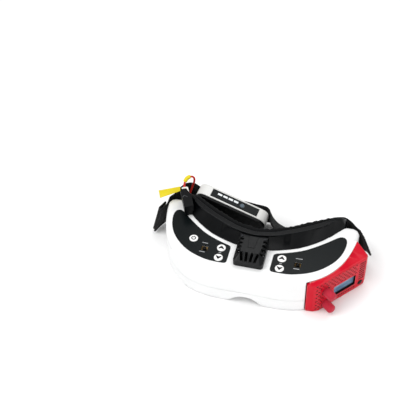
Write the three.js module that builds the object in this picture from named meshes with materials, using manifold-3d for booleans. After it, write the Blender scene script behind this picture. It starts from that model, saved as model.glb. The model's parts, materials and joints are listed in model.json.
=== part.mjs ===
// FPV goggles: a crescent-shaped two-piece shell with a face plate and foam ring behind it, a fan on top,
// sliding eyepieces inside, a receiver bay under a bulged side cover, and a battery case on the head strap.
// Millimetres. +X is the wearer's left, +Y points back to the wearer's face, +Z is up.
import * as THREE from "three";
import { mergeVertices } from "three/addons/utils/BufferGeometryUtils.js";
import { ConvexGeometry } from "three/addons/geometries/ConvexGeometry.js";
import Module from "manifold-3d";

const wasm = await Module();
wasm.setup();

// ---- driving dimensions ----
const GAP = 0.3; // between pieces that touch
const SHELL_TOP = 42; // flat top of the shell above the table
const SPLIT = 15; // height of the parting line
const WALL = 2.2; // shell wall
const TOP_ROUND = 5; // rounding of the shell's outer top edge
const NOSE_HALF_WIDTH = 22; // nose arch at the table
const NOSE_HEIGHT = 12.6; // nose arch at the front of the shell
const EYE_X = 32; // half of the spacing between the eyepieces
const EYE_Z = 21;
const EYE_TRAVEL = 4; // each eyepiece slides this far either way
const BARREL_R = 13.6;
const LIP_TOP = 55; // top of the face plate and its foam
const MASK_HALF_WIDTH = 80.8; // half of the face plate's width
const MASK_CORNER = 17;
const WALL_SLANT = 0.81; // how far back the face plate's upper wall leans for each millimetre up
const PANEL_TOP = 41.9; // control panels sit just under the shell's top
const BUTTON_R = 4.2;
const BAY_NORMAL = new THREE.Vector3(0.755, -0.656, 0).normalize(); // outward from the receiver bay
const BAY_ALONG = new THREE.Vector3(0.656, 0.755, 0).normalize(); // along the bay cover, to the back
const BAY_FACE = 65; // distance of the cover's outer face from the origin, along BAY_NORMAL
const ANTENNA_ALONG = 38;
const ANTENNA_HEIGHTS = [6.6, 24];
const CAP_R = 4.4;
const CASE = { length: 74.8, depth: 38, thick: 14.4, turn: -6.6, slope: 15, lean: 13.6, corner: 9 }; // battery case
const CASE_TOP = new THREE.Vector3(-29.6, 58.4, 44.8); // middle of the label on its narrow side
const STRAP_THICK = 2.2;
const STRAP_HIGH = 40;
const CENTRE = new THREE.Vector3(-1.64, 29.65, 0); // where the base's middle lies in the frame used below

// Right half of the shell's outline seen from above, from the front's middle to the temple.
const OUTER_HALF = [[0, -27.2], [18, -27.5], [34, -27.3], [47, -25.2], [58, -21.2], [68, -14.6], [76.8, -5.4],
  [83.8, 5.6], [88.6, 17], [91.8, 29], [94, 41], [94.6, 49]];
// Right half of the shell's rear rim, which the face plate follows.
const RIM_HALF = [[0, 6], [16, 7], [30, 11], [43, 16.5], [56, 25.4], [67, 35.4], [76, 46.6], [82.6, 54]];
// Right half of the face plate's lip, where the foam begins.
const LIP_HALF = [[0, 14], [15, 16.6], [23, 19.6], [31, 23.3], [40, 27.7], [48.5, 32.6], [57.3, 38], [66, 44.4],
  [73, 50.6], [79, 57.2], [83.4, 63.4]];

// Right half of the foam's face side.
const FOAM_BACK_HALF = [[0, 22.8], [14, 24.8], [29, 30.6], [43, 38.3], [55, 46], [64, 52.6], [71, 58], [77, 65]];

// ---- geometry helpers ----
const v2 = (x, y) => new THREE.Vector2(x, y);
const v3 = (x, y, z) => new THREE.Vector3(x, y, z);

// A closed three.js geometry as a solid that can be joined and cut.
function solid(geometry, matrix = new THREE.Matrix4()) {
  const bare = geometry.index ? geometry.toNonIndexed() : geometry.clone();
  bare.deleteAttribute("normal");
  bare.deleteAttribute("uv");
  bare.applyMatrix4(matrix);
  const merged = mergeVertices(bare, 1e-4);
  return new wasm.Manifold(new wasm.Mesh({
    numProp: 3,
    vertProperties: merged.attributes.position.array,
    triVerts: new Uint32Array(merged.index.array),
  }));
}

const join = (first, ...rest) => rest.reduce((whole, piece) => whole.add(piece), first);
const cut = (first, ...rest) => rest.reduce((whole, piece) => whole.subtract(piece), first);

// The solid as a named mesh with its finish.
function part(name, body, colour, roughness = 0.5, metalness = 0) {
  const m = body.getMesh();
  const geometry = new THREE.BufferGeometry();
  geometry.setAttribute("position", new THREE.BufferAttribute(new Float32Array(m.vertProperties), 3));
  geometry.setIndex(new THREE.BufferAttribute(new Uint32Array(m.triVerts), 1));
  geometry.computeVertexNormals();
  const mesh = new THREE.Mesh(geometry, new THREE.MeshStandardMaterial({ color: colour, roughness, metalness }));
  mesh.name = name;
  return mesh;
}

// A smooth curve through points, as Vector2s.
function smooth(points, steps) {
  return new THREE.SplineCurve(points.map(([x, y]) => v2(x, y))).getPoints(steps);
}

// A half curve that starts on x = 0, completed by its mirror image, from -X to +X.
function mirrored(half) {
  return [...half.slice(1).reverse().map((p) => v2(-p.x, p.y)), ...half];
}

// Every point of an open curve moved to its left by a distance.
function offset(points, distance) {
  return points.map((p, i) => {
    const before = points[Math.max(i - 1, 0)];
    const after = points[Math.min(i + 1, points.length - 1)];
    const along = after.clone().sub(before).normalize();
    return v2(p.x - along.y * distance, p.y + along.x * distance);
  });
}

// The region between two offsets of an open curve, as a closed outline.
const band = (points, near, far) => [...offset(points, near), ...offset(points, far).reverse()];

// An outline in X and Y extruded between two heights.
function prism(outline, low, high) {
  const geometry = new THREE.ExtrudeGeometry(new THREE.Shape(outline), {
    depth: high - low, bevelEnabled: false, curveSegments: 12,
  });
  return solid(geometry, new THREE.Matrix4().makeTranslation(0, 0, low));
}

// An outline in X and Z extruded along Y between two depths.
function prismY(outline, near, far) {
  const geometry = new THREE.ExtrudeGeometry(new THREE.Shape(outline), { depth: far - near, bevelEnabled: false });
  const turn = new THREE.Matrix4().makeRotationX(Math.PI / 2);
  return solid(geometry, turn.premultiply(new THREE.Matrix4().makeTranslation(0, far, 0)));
}

function box(x0, x1, y0, y1, z0, z1, matrix = new THREE.Matrix4()) {
  const geometry = new THREE.BoxGeometry(x1 - x0, y1 - y0, z1 - z0);
  geometry.translate((x0 + x1) / 2, (y0 + y1) / 2, (z0 + z1) / 2);
  return solid(geometry, matrix);
}

// A turned solid from [radius, height] pairs; the profile starts and ends on the axis, which is Z.
function turned(profile, sides, matrix = new THREE.Matrix4()) {
  const geometry = new THREE.LatheGeometry(profile.map(([r, h]) => v2(r, h)), sides);
  return solid(geometry, matrix.clone().multiply(new THREE.Matrix4().makeRotationX(Math.PI / 2)));
}

const rod = (r, low, high, sides, matrix) => turned([[0, low], [r, low], [r, high], [0, high]], sides, matrix);
const ring = (r0, r1, low, high, sides, matrix) =>
  turned([[r0, low], [r1, low], [r1, high], [r0, high], [r0, low]], sides, matrix);
const at = (x, y, z) => new THREE.Matrix4().makeTranslation(x, y, z);

// A frame whose Z looks along a direction and whose Y is as near as it can be to up.
function facing(direction, up, x, y, z) {
  const side = up.clone().cross(direction).normalize();
  return new THREE.Matrix4().makeBasis(side, direction.clone().cross(side), direction).setPosition(x, y, z);
}

// Leans a solid back: y grows with the height above a level.
function leaned(geometryOutline, level, high) {
  const geometry = new THREE.ExtrudeGeometry(new THREE.Shape(geometryOutline), {
    depth: high - level, bevelEnabled: false,
  });
  const lean = new THREE.Matrix4().set(1, 0, 0, 0, 0, 1, WALL_SLANT, 0, 0, 0, 1, 0, 0, 0, 0, 1);
  return solid(geometry, lean.premultiply(at(0, 0, level)));
}

// ---- outlines shared by several parts ----
const outer = mirrored(smooth(OUTER_HALF, 22));
const rim = mirrored(smooth(RIM_HALF, 12));
const lip = mirrored(smooth(LIP_HALF, 13));
const foamBack = mirrored(smooth(FOAM_BACK_HALF, 13));
const TEMPLE = [v2(92.6, 53), v2(88.5, 55)];

// The whole plan of the shell, its outer edge moved in by a distance.
function shellPlan(inset) {
  const temple = TEMPLE.map((p) => v2(p.x - inset, p.y - inset));
  return [
    ...offset(outer, inset), ...temple,
    ...temple.slice().reverse().map((p) => v2(-p.x, p.y)),
  ];
}

// Everything behind the rear rim, moved back by a distance.
function behindRim(distance) {
  const line = offset(rim, distance);
  return [v2(-83, 90), v2(-83, line[0].y), ...line.slice(1, -1), v2(83, line[0].y), v2(83, 90)];
}

// The nose arch in X and Z, grown by a distance.
function noseArch(grow, halfWidth = NOSE_HALF_WIDTH, height = NOSE_HEIGHT) {
  const w = halfWidth + grow;
  const h = height + grow;
  const side = smooth([[w, 0], [w * 0.76, h * 0.16], [w * 0.52, h * 0.58], [w * 0.26, h * 0.92], [0, h]], 9);
  return [v2(-w, -5), v2(w, -5), ...side, ...side.slice(0, -1).reverse().map((p) => v2(-p.x, p.y))];
}

// The face opening in X and Z: a wide rounded rectangle with a notch for the nose.
function maskOutline(inset, halfWidth = MASK_HALF_WIDTH, radius = MASK_CORNER) {
  const half = halfWidth - inset;
  const low = 2 + inset;
  const high = LIP_TOP - inset;
  const corner = Math.max(radius - inset, 5);
  const notch = 17 + inset * 0.9;
  const apex = 25 + inset * 0.9;
  const side = smooth([[0, apex], [notch * 0.5, apex - 2.2], [notch * 0.82, low + (apex - low) * 0.55],
    [notch, low + 4], [notch + 5, low]], 9);
  const arc = (cx, cz, from) => [0, 1, 2, 3, 4].map((i) => {
    const angle = from + (i * Math.PI) / 8;
    return v2(cx + corner * Math.cos(angle), cz + corner * Math.sin(angle));
  });
  const right = [...side, ...arc(half - corner, low + corner, -Math.PI / 2), ...arc(half - corner, high - corner, 0)];
  return [...right, ...right.slice(1).reverse().map((p) => v2(-p.x, p.y))];
}

// ---- receiver bay ----
// A point in the bay's own frame: along the cover, out from the origin, and up.
const bayPoint = (along, out, up) =>
  BAY_ALONG.clone().multiplyScalar(along).addScaledVector(BAY_NORMAL, out).setZ(up);
function bayFacing(along, out, up) {
  const p = bayPoint(along, out, up);
  return facing(BAY_NORMAL, v3(0, 0, 1), p.x, p.y, p.z);
}
const bayBasis = new THREE.Matrix4().makeBasis(BAY_ALONG, BAY_NORMAL.clone().negate(), v3(0, 0, 1));
const bayBox = (a0, a1, out0, out1, z0, z1) => box(a0, a1, -out1, -out0, z0, z1, bayBasis);

// The bay's edge on the shell, from the front to the back, and the cover's outer edge at the same stations.
const bayEdge = smooth([[58.8, -21], [68, -14.8], [76.8, -5.6], [83.8, 5.4], [88.6, 16.8], [91.8, 29], [93.2, 38]], 9);
// The bay's edge moved inboard by a distance, with both ends run on by a length.
function bayLine(distance, extra = 0) {
  const line = offset(bayEdge, distance);
  const run = (end, from) => end.clone().add(end.clone().sub(from).normalize().multiplyScalar(extra));
  return [run(line[0], line[1]), ...line.slice(1, -1), run(line.at(-1), line.at(-2))];
}
const BAY_OUTER = [[58.8, -23], [63.4, -22.6], [68.6, -20], [76.4, -11.1], [84.6, -1.7], [92.9, 7.9], [101.2, 17.4],
  [105.4, 22.3], [105.9, 25.4], [94.3, 38.4]].map(([x, y]) => v2(x, y));
const WINDOW = { a0: 47.6, a1: 74, z0: 9, z1: 20.4 };
const RECEIVER_BUTTON = { along: 80.6, up: 7.2 };

// ---- battery case ----
const degrees = Math.PI / 180;
// The case's own frame: X along it, Y across its thickness to the back, Z out of its narrow side.
const caseFrame = new THREE.Matrix4().makeRotationZ(CASE.turn * degrees)
  .multiply(new THREE.Matrix4().makeRotationY(CASE.slope * degrees))
  .multiply(new THREE.Matrix4().makeRotationX(CASE.lean * degrees)).setPosition(CASE_TOP);
const CASE_BACK = 5.8; // the label's middle to the back of the case
const CASE_SHIFT = -1; // the case's middle beside the label's middle
const CASE_SEAM = -6; // where the two halves meet
const CASE_FRONT = CASE_BACK - CASE.thick;
const CASE_WALL = 1.3;

// A rounded box in the case's frame: an outline along and across, extruded down from the narrow side.
function caseBlock(inset, y0, y1, top, bottom) {
  const half = CASE.length / 2 - inset;
  const r = CASE.corner - inset;
  const outline = [[half - r, top - r, 0], [-half + r, top - r, 1], [-half + r, bottom + r, 2], [half - r, bottom + r, 3]]
    .flatMap(([x, y, quarter]) => [0, 1, 2, 3, 4].map((i) => {
      const angle = ((quarter * 4 + i) * Math.PI) / 8;
      return v2(x + r * Math.cos(angle), y + r * Math.sin(angle));
    }));
  const geometry = new THREE.ExtrudeGeometry(new THREE.Shape(outline), { depth: y1 - y0, bevelEnabled: false });
  const place = caseFrame.clone().multiply(at(CASE_SHIFT, y1, 0)).multiply(new THREE.Matrix4().makeRotationX(Math.PI / 2));
  return solid(geometry, place);
}

// ---- shell ----
function upperShell() {
  const bevel = { bevelEnabled: true, bevelSize: TOP_ROUND, bevelThickness: TOP_ROUND, bevelOffset: -TOP_ROUND,
    bevelSegments: 4, depth: 60 };
  const rounded = solid(new THREE.ExtrudeGeometry(new THREE.Shape(shellPlan(0)), bevel),
    at(0, 0, SHELL_TOP - 60 - TOP_ROUND));
  const beside = [v2(58.8, -40), v2(120, -40), v2(120, 38), v2(75, 38), v2(58.8, 0)];
  const square = prism(shellPlan(0), SHELL_TOP - TOP_ROUND - 1, SHELL_TOP).intersect(prism(beside, 0, 60));
  const cavity = prism(shellPlan(WALL), -20, SHELL_TOP - WALL);
  const bayWall = prism(bayCut(), -1, SHELL_TOP - WALL);
  const sideWindow = prism(sidePlan(-3, WALL + 1, 0), SPLIT - 5, SIDE_TOP + GAP);
  let body = cut(join(rounded, square), cavity, bayWall, sideWindow, prism(behindRim(0), -20, 60),
    box(-120, 120, -60, 90, -80, SPLIT + GAP / 2));
  for (const side of [-1, 1]) {
    body = cut(body, prism(panelPlan(side, -0.2), PANEL_TOP - 0.9, 60));
    for (const [x, y] of buttonPlaces(side)) body = cut(body, rod(BUTTON_R + 0.7, 30, 50, 20, at(x, y, 0)));
    body = cut(body, box(side * 44.4 - 3.6, side * 44.4 + 3.6, -7.2, 0, 30, 50));
  }
  return cut(body, rod(9.6, 30, 50, 24, at(FAN.x, FAN.y, 0)));
}

const SIDE_TOP = 34.6; // top edge of the socket cover on the wearer's right
// Plan of the socket cover, which is a stretch of the shell's own wall on the -X side.
function sidePlan(near, far, trim) {
  const wall = outer.filter((p) => p.x < -66 - trim && p.y < 47 - trim);
  return band(wall, near, far);
}

function lowerShell() {
  const bevel = { bevelEnabled: true, bevelSize: 2.5, bevelThickness: 2.5, bevelOffset: -2.5, bevelSegments: 2,
    depth: 60 };
  const rounded = solid(new THREE.ExtrudeGeometry(new THREE.Shape(shellPlan(0)), bevel), at(0, 0, 2.5));
  const cavity = prism(shellPlan(WALL), WALL, 60);
  const bayWall = prism(bayCut(), -5, 60);
  const arch = prismY(noseArch(1.9), -40, 60).intersect(rounded);
  const above = box(-120, 120, -60, 90, SPLIT - GAP / 2, 90);
  let body = cut(join(cut(rounded, cavity), arch), prismY(noseArch(0), -60, 90), bayWall,
    prism(behindRim(0), -20, 90), above);
  for (const side of [-1, 1]) {
    const reach = 4.6 + EYE_TRAVEL + 0.4;
    body = cut(body, box(side * EYE_X - reach, side * EYE_X + reach, -3.2, 3.2, -5, 10));
  }
  return body;
}

// The socket cover with a power inlet, an audio-video socket and a card slot.
const SOCKETS = { power: 41.6, av: 34.4, card: 26.4 };
function wallX(y) {
  const i = outer.findIndex((p) => p.x < 0 && p.y < y);
  const a = outer[i - 1];
  const b = outer[i];
  return a.x + ((b.x - a.x) * (y - a.y)) / (b.y - a.y);
}
function socketCover() {
  const body = prism(sidePlan(0, WALL, 0.6), SPLIT + GAP, SIDE_TOP);
  const outwards = (y, z) => facing(v3(-1, 0, 0), v3(0, 0, 1), wallX(y) + 6, y, z);
  return cut(body, rod(3.5, 0, 12, 20, outwards(SOCKETS.power, 24)), rod(2.4, 0, 12, 16, outwards(SOCKETS.av, 24)),
    box(-120, -80, SOCKETS.card - 1, SOCKETS.card + 1, 17.4, 30.6),
    prism(notchPlan(), SIDE_TOP - 1.4, SIDE_TOP + 1));
}
// A finger notch along the cover's top edge.
function notchPlan() {
  const wall = outer.filter((p) => p.x < -76 && p.y < 14 && p.y > -6);
  return band(wall, -1, 1.1);
}

function powerJack() {
  const x = wallX(SOCKETS.power) + WALL + 0.4;
  const place = facing(v3(-1, 0, 0), v3(0, 0, 1), x, SOCKETS.power, 24);
  return join(ring(2.75, 3.2, -8, 1.2, 20, place), rod(3.2, -9, -7.8, 20, place), rod(0.65, -8.5, 0.4, 10, place));
}

function avJack() {
  const place = facing(v3(-1, 0, 0), v3(0, 0, 1), wallX(SOCKETS.av) + WALL + 0.4, SOCKETS.av, 24);
  return join(ring(1.75, 2.1, -9, 1.4, 16, place), rod(2.1, -10, -8.8, 16, place));
}

function cardSocket() {
  const x = wallX(SOCKETS.card) + WALL + 0.9;
  return cut(box(x, x + 17, SOCKETS.card - 2, SOCKETS.card + 2, 16.6, 31.4),
    box(x - 1, x + 15.4, SOCKETS.card - 0.75, SOCKETS.card + 0.75, 18, 30));
}

function memoryCard() {
  const x = wallX(SOCKETS.card);
  return box(x + 0.2, x + 15.2, SOCKETS.card - 0.42, SOCKETS.card + 0.42, 18.5, 29.5);
}

// ---- control panels ----
// Right-hand panel's curved edge, from its lower inner corner round the temple end to its upper inner corner.
const PANEL_EDGE = [[24, -17.5], [31, -17.6], [40, -16.8], [48.8, -14.2], [57.2, -10.7], [65.6, -5.1], [73.2, 2.4],
  [78.5, 9.8], [82.2, 18], [84.2, 26.4], [84.6, 33.4], [83.2, 37.8], [79.8, 39.5], [76.2, 38], [71.8, 34.2],
  [64.8, 27.8], [56, 20.7], [47.6, 14.9], [39, 10.7], [30.4, 7.4], [24.4, 5.5]];
const PANEL_INNER_X = 20.5;
function panelPlan(side, inset) {
  const edge = offset(smooth(PANEL_EDGE, 38), inset);
  const x = PANEL_INNER_X + inset;
  const [first, last] = [edge[0], edge.at(-1)];
  const path = new THREE.Path().moveTo(last.x, last.y);
  path.quadraticCurveTo(x, last.y - 0.8, x, last.y - 4.2).lineTo(x, first.y + 3.4);
  path.quadraticCurveTo(x, first.y, first.x, first.y);
  const outline = [...edge, ...path.getPoints(4).slice(1, -1)];
  return side > 0 ? outline : outline.map((p) => v2(-p.x, p.y)).reverse();
}

// Buttons on one panel: the rocker pair, and a third one on the -X panel.
function buttonPlaces(side) {
  const pair = [[side * 28.9, 0], [side * 28.9, -12.2]];
  return side < 0 ? [...pair, [-57.5, 5.9]] : pair;
}

function controlPanel(side) {
  let body = prism(panelPlan(side, 0.1), PANEL_TOP - 0.7, PANEL_TOP);
  for (const [x, y] of buttonPlaces(side)) body = cut(body, rod(BUTTON_R + 0.3, 30, 50, 24, at(x, y, 0)));
  return cut(body, box(side * 44.4 - 3.1, side * 44.4 + 3.1, -6.7, -0.5, 30, 50));
}

function button(x, y) {
  return turned([[0, 38.6], [BUTTON_R - 0.5, 38.6], [BUTTON_R, 39], [BUTTON_R, 42.1], [BUTTON_R - 0.4, 42.5], [0, 42.5]],
    24, at(x, y, 0));
}

const STICK = { x: 44.4, y: -3.6 };
const stickFrame = (side) => {
  const x = side * STICK.x;
  const y = STICK.y;
  return cut(box(x - 2.9, x + 2.9, y - 2.9, y + 2.9, 38.1, 40.6), box(x - 2.3, x + 2.3, y - 2.3, y + 2.3, 38.7, 45));
};
const stickGimbal = (side) => ring(1.55, 1.95, 39.1, 40.1, 12, at(side * STICK.x, STICK.y, 0));
const stickCup = (side) => join(ring(0.85, 1.2, 39, 40.9, 12, at(side * STICK.x, STICK.y, 0)));
const stickCap = (side) => {
  const place = at(side * STICK.x, STICK.y, 0);
  return turned([[0, 39.4], [0.6, 39.4], [0.6, 41.3], [1.5, 41.3], [1.6, 41.5], [1.4, 42.1], [0, 42.2]], 12, place);
};

function mainBoard() {
  const half = smooth([[0, -21], [30, -21.4], [50, -17.4], [58, -12], [58, 2]], 8);
  const back = smooth([[58, 2], [50, 8], [36, 4], [16, -14]], 6).slice(1);
  const right = [...half, ...back];
  const outline = [...right, ...right.slice(1).reverse().map((p) => v2(-p.x, p.y))];
  return prism(outline, 36.2, 37.8);
}

// ---- fan ----
const FAN = { x: 0, y: -2, r: 9 };
function fanHull(inset, low, high) {
  const corners = [];
  const add = (x, y, z) => corners.push(v3(-x, y, z), v3(x, y, z));
  for (const z of [low, 47.6]) {
    for (const step of [0, 1, 2, 3]) {
      const angle = (step * Math.PI) / 6;
      add(11.2 - inset + 3 * Math.cos(angle), -15.2 + inset - 3 * Math.sin(angle), z);
    }
    add(14.2 - inset, 14.6 - inset * 0.6, z);
  }
  add(8.4 - inset * 0.7, -9 + inset * 0.7, high);
  add(13.4 - inset * 0.7, 13 - inset, high);
  return solid(new ConvexGeometry(corners));
}

function fanHousing() {
  let body = cut(fanHull(0, SHELL_TOP + GAP, 53), fanHull(1.6, 35, 51.4));
  for (const x of [-7.6, -2.6, 2.6, 7.6]) {
    const tilt = new THREE.Matrix4().makeRotationZ(x * -0.035).premultiply(at(x * 0.9, -13.4, 48));
    body = cut(body, box(-1.25, 1.25, -5.6, 4.4, 0, 8, tilt));
  }
  for (const side of [-1, 1])
    for (const y of [-7.6, -2.8, 2, 6.8]) {
      const tilt = new THREE.Matrix4().makeRotationZ(side * 0.25).premultiply(at(side * 12.2, y, 48.4));
      body = cut(body, box(-2.6, 3.4, -1.2, 1.2, 0, 8, tilt));
    }
  const slant = prism(behindRim(-0.3), 20, SHELL_TOP + 0.1);
  body = cut(body, slant, leaned(behindRim(-GAP), SHELL_TOP, 62));
  for (const side of [-1, 1]) body = cut(body, rod(0.75, 40, 60, 10, at(side * 11, 9.6, 0)));
  const tongue = prism([v2(-4.4, 11), v2(4.4, 11), v2(3, -3), v2(-3, -3)].reverse(), 52.5, 53.5);
  return join(body, tongue);
}

function fanRotor() {
  let body = rod(3.6, 44, 49.6, 20, at(FAN.x, FAN.y, 0));
  for (let i = 0; i < 7; i++) {
    const turn = new THREE.Matrix4().makeRotationZ((i * 2 * Math.PI) / 7);
    const pitch = new THREE.Matrix4().makeRotationX(0.6);
    const place = at(FAN.x, FAN.y, 46.8).multiply(turn).multiply(pitch);
    body = join(body, box(2.6, FAN.r - 1, -2.6, 2.6, -0.4, 0.4, place));
  }
  return body;
}

const fanScrew = (side) => turned([[0, 48], [0.6, 48], [0.6, 53.1], [1.3, 53.1], [1.3, 53.7], [0.9, 54], [0, 54]],
  10, at(side * 11, 9.6, 0));

// ---- face plate and foam ----
function facePlate() {
  const outline = prismY(maskOutline(0), -10, 80);
  const opening = prismY(maskOutline(9), -10, 90);
  const wall = leaned(band(rim, GAP, 2.5), SHELL_TOP, LIP_TOP + 1);
  const collar = prism(band(rim, GAP, 2.5), 2, SHELL_TOP + 0.01);
  const flange = prism(band(lip, 0, 2.2), 2, LIP_TOP);
  const roof = prism([...offset(lip, 2.2), ...offset(lip, -2.4).reverse()].reverse(), LIP_TOP - 2, LIP_TOP);
  const floor = prism([...offset(rim, 0.5), ...offset(lip, 2.2).reverse()], 2, 4.2);
  const bridge = cut(prismY(noseArch(2, 17, 25), -10, 90), prismY(noseArch(0, 17, 25), -11, 91))
    .intersect(prism([...offset(rim, 0.5), ...offset(lip, 2.2).reverse()], 2, 50));
  const ends = [-1, 1].map((side) => {
    const line = [v2(side * 81.4, 55.4), v2(side * 80.2, 61.6)];
    return prism(side > 0 ? band(line, 0, 2.2) : band(line, -2.2, 0), 12, 44);
  });
  const ringed = cut(join(collar, flange), opening);
  let body = join(ringed, wall.intersect(box(-90, 90, -10, 90, SHELL_TOP, LIP_TOP)), floor, ...ends);
  body = join(body, roof.intersect(box(-66, 66, -10, 90, 40, 60)).intersect(prism(behindRim(6), 0, 90)));
  const ahead = prism([...offset(lip, 2.2), v2(90, -20), v2(-90, -20)].reverse(), 0, 60);
  body = join(body.intersect(outline), bridge).intersect(ahead);
  return cut(body, prismY(noseArch(0, 17, 25), -11, 91), box(-90, 90, -20, 90, -5, 2));
}

const FOAM_HALF_WIDTH = 77.5;
const FOAM_CORNER = 20;
function foamPad() {
  const plan = prism([...offset(lip, 2.5), ...foamBack.slice().reverse()], 2.4, LIP_TOP - 0.3);
  const shape = prismY(maskOutline(0.6, FOAM_HALF_WIDTH, FOAM_CORNER), -10, 90).intersect(plan);
  return cut(shape, prismY(maskOutline(10.5), -10, 90), prismY(noseArch(1, 17, 25), -11, 91));
}

function eyepieceCover() {
  const shape = prism(band(rim, -3.2, -1.4), 3, SHELL_TOP - WALL - GAP);
  let body = shape.intersect(prismY([v2(-74, 3), v2(74, 3), v2(74, 38), v2(-74, 38)], -10, 90));
  body = cut(body, prismY(noseArch(2.3), -20, 90));
  for (const side of [-1, 1]) {
    const hole = [];
    const r = BARREL_R + 1.2;
    for (let i = 0; i <= 24; i++) {
      const angle = (i * Math.PI * 2) / 24;
      const shift = EYE_TRAVEL * Math.sign(Math.round(Math.cos(angle) * 1e6));
      hole.push(v2(side * EYE_X + shift + r * Math.cos(angle), EYE_Z + r * Math.sin(angle)));
    }
    body = cut(body, prismY(hole.slice(0, -1), -30, 60));
  }
  return body;
}

// ---- eyepieces, which slide sideways ----
const eyePlace = (side, y) => facing(v3(0, 1, 0), v3(0, 0, 1), side * EYE_X, y, EYE_Z);
function eyeBarrel(side) {
  const tube = ring(BARREL_R - 1.4, BARREL_R, 0, 17, 24, eyePlace(side, -12));
  const stop = ring(10.6, BARREL_R - 0.7, 9.6, 10.8, 24, eyePlace(side, -12));
  const x = side * EYE_X;
  let body = join(tube, stop, box(x - 2.2, x + 2.2, -2, 2, 3, EYE_Z - BARREL_R + 0.8),
    box(x - 4.4, x + 4.4, -2.7, 2.7, 0.5, 3.2));
  for (const dx of [-2.6, -0.9, 0.9, 2.6]) body = cut(body, box(x + dx - 0.4, x + dx + 0.4, -3, 3, 0, 0.9));
  return body;
}

function eyeLens(side) {
  const r = BARREL_R - 1.7;
  const profile = [[0, -2.6], [r * 0.5, -2.2], [r * 0.8, -1.5], [r, -0.6], [r, 0.6], [r * 0.8, 1.5], [r * 0.5, 2.2],
    [0, 2.6]];
  return turned(profile, 20, eyePlace(side, 1.8));
}

function eyeDisplay(side) {
  const x = side * EYE_X;
  return join(box(x - 8.4, x + 8.4, -11.6, -9.4, EYE_Z - 6.4, EYE_Z + 6.4),
    box(x - 10, x + 10, -15.4, -12.3, EYE_Z - 8.4, EYE_Z + 8.4), box(x - 6, x + 6, -12.6, -11.4, EYE_Z - 5, EYE_Z + 5));
}

// ---- receiver bay parts ----
// A solid skinned over rings of equal point counts, each ring given as Vector3s, from bottom to top.
function loft(rings) {
  const count = rings[0].length;
  const positions = rings.flat().flatMap((p) => [p.x, p.y, p.z]);
  const index = [];
  for (let k = 0; k + 1 < rings.length; k++)
    for (let i = 0; i < count; i++) {
      const j = (i + 1) % count;
      const a = k * count;
      const b = a + count;
      index.push(a + i, a + j, b + j, a + i, b + j, b + i);
    }
  const cap = (r, flip, base) => {
    for (const [a, b, c] of THREE.ShapeUtils.triangulateShape(r.map((p) => v2(p.x, p.y)), []))
      index.push(...(flip ? [base + a, base + c, base + b] : [base + a, base + b, base + c]));
  };
  cap(rings[0], true, 0);
  cap(rings[rings.length - 1], false, (rings.length - 1) * count);
  const geometry = new THREE.BufferGeometry();
  geometry.setAttribute("position", new THREE.BufferAttribute(new Float32Array(positions), 3));
  geometry.setIndex(index);
  return solid(geometry);
}

function bayCover() {
  const inner = bayEdge.map((p) => p.clone());
  const seat = offset(inner, -GAP);
  const inside = offset(inner, WALL + 0.4).reverse();
  const level = (edge, back, z) => [...edge, ...back].map((p) => v3(p.x, p.y, z));
  const shrink = (amount) => BAY_OUTER.map((p, i) => {
    const to = seat[Math.min(i, seat.length - 1)];
    const d = to.clone().sub(p);
    return p.clone().addScaledVector(d.normalize(), Math.min(amount, d.length() * 0.8));
  });
  const top = seat.map((p) => p.clone());
  const outside = loft([level(shrink(1.4), inside, GAP), level(BAY_OUTER, inside, 3.4), level(BAY_OUTER, inside, 37.2),
    level(shrink(1), inside, 39), level(top, inside, SHELL_TOP - 0.2)]);
  const under = cut(outside, prism(bayUnder(), SHELL_TOP - WALL - GAP, 60));
  const hollow = loft([level(offset(BAY_OUTER, 2), deeper(), 2.4), level(offset(BAY_OUTER, 2), deeper(), 36.4),
    level(offset(top, 3.4), deeper(), 39.6)]);
  let body = cut(under, hollow);
  for (const z of ANTENNA_HEIGHTS) body = cut(body, rod(CAP_R + 0.6, -12, 20, 24, bayFacing(ANTENNA_ALONG, BAY_FACE, z)));
  body = cut(body, bayBox(WINDOW.a0, WINDOW.a1, 55, 75, WINDOW.z0, WINDOW.z1));
  return cut(body, rod(2.5, -8, 8, 16, bayFacing(RECEIVER_BUTTON.along, BAY_FACE, RECEIVER_BUTTON.up)));
}
// The plan of what the bay cover takes out of the shell's side.
function bayCut() {
  const line = bayLine(WALL + 0.8, 1.8);
  return [...line, v2(line.at(-1).x + 40, line.at(-1).y + 6), v2(120, -60), v2(line[0].x, -60)];
}
const deeper = () => offset(bayEdge, WALL + 8).reverse();
// What lies inboard of the bay's edge, under the shell's top.
const bayUnder = () => [...bayLine(-GAP, 2), ...bayLine(20, 2).reverse()];

const receiverModule = () => join(bayBox(36, 84.5, 50, 58.6, 3.4, 36.4), bayBox(45.6, 76, 58.5, 60.4, 6.4, 23.4));
const receiverScreen = () => cut(bayBox(46.8, 74.8, 60.7, 62, 8.2, 21.2), bayBox(49.6, 72, 61.7, 63, 10.4, 19));
const receiverButton = () => turned([[0, 0], [1.9, 0], [1.9, 4.9], [1.5, 5.3], [0, 5.3]], 16,
  bayFacing(RECEIVER_BUTTON.along, 60.2, RECEIVER_BUTTON.up));
const buttonPost = () => bayBox(RECEIVER_BUTTON.along - 2.4, RECEIVER_BUTTON.along + 2.4, 58.5, 59.2, 4.8, 9.6);
const antennaSocket = (i) => {
  const place = bayFacing(ANTENNA_ALONG, 58.9, ANTENNA_HEIGHTS[i]);
  return join(rod(3.9, 0, 1.6, 6, place), rod(3.05, 1.5, 11.4, 16, place));
};
const antennaCap = (i) => {
  const place = bayFacing(ANTENNA_ALONG, 61.2, ANTENNA_HEIGHTS[i]);
  return turned([[3.35, 0], [CAP_R, 0], [CAP_R, 12.2], [CAP_R - 0.5, 13.7], [CAP_R - 1.6, 14.6], [0, 14.9], [0, 10.2],
    [3.35, 10.2], [3.35, 0]], 16, place);
};

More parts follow.
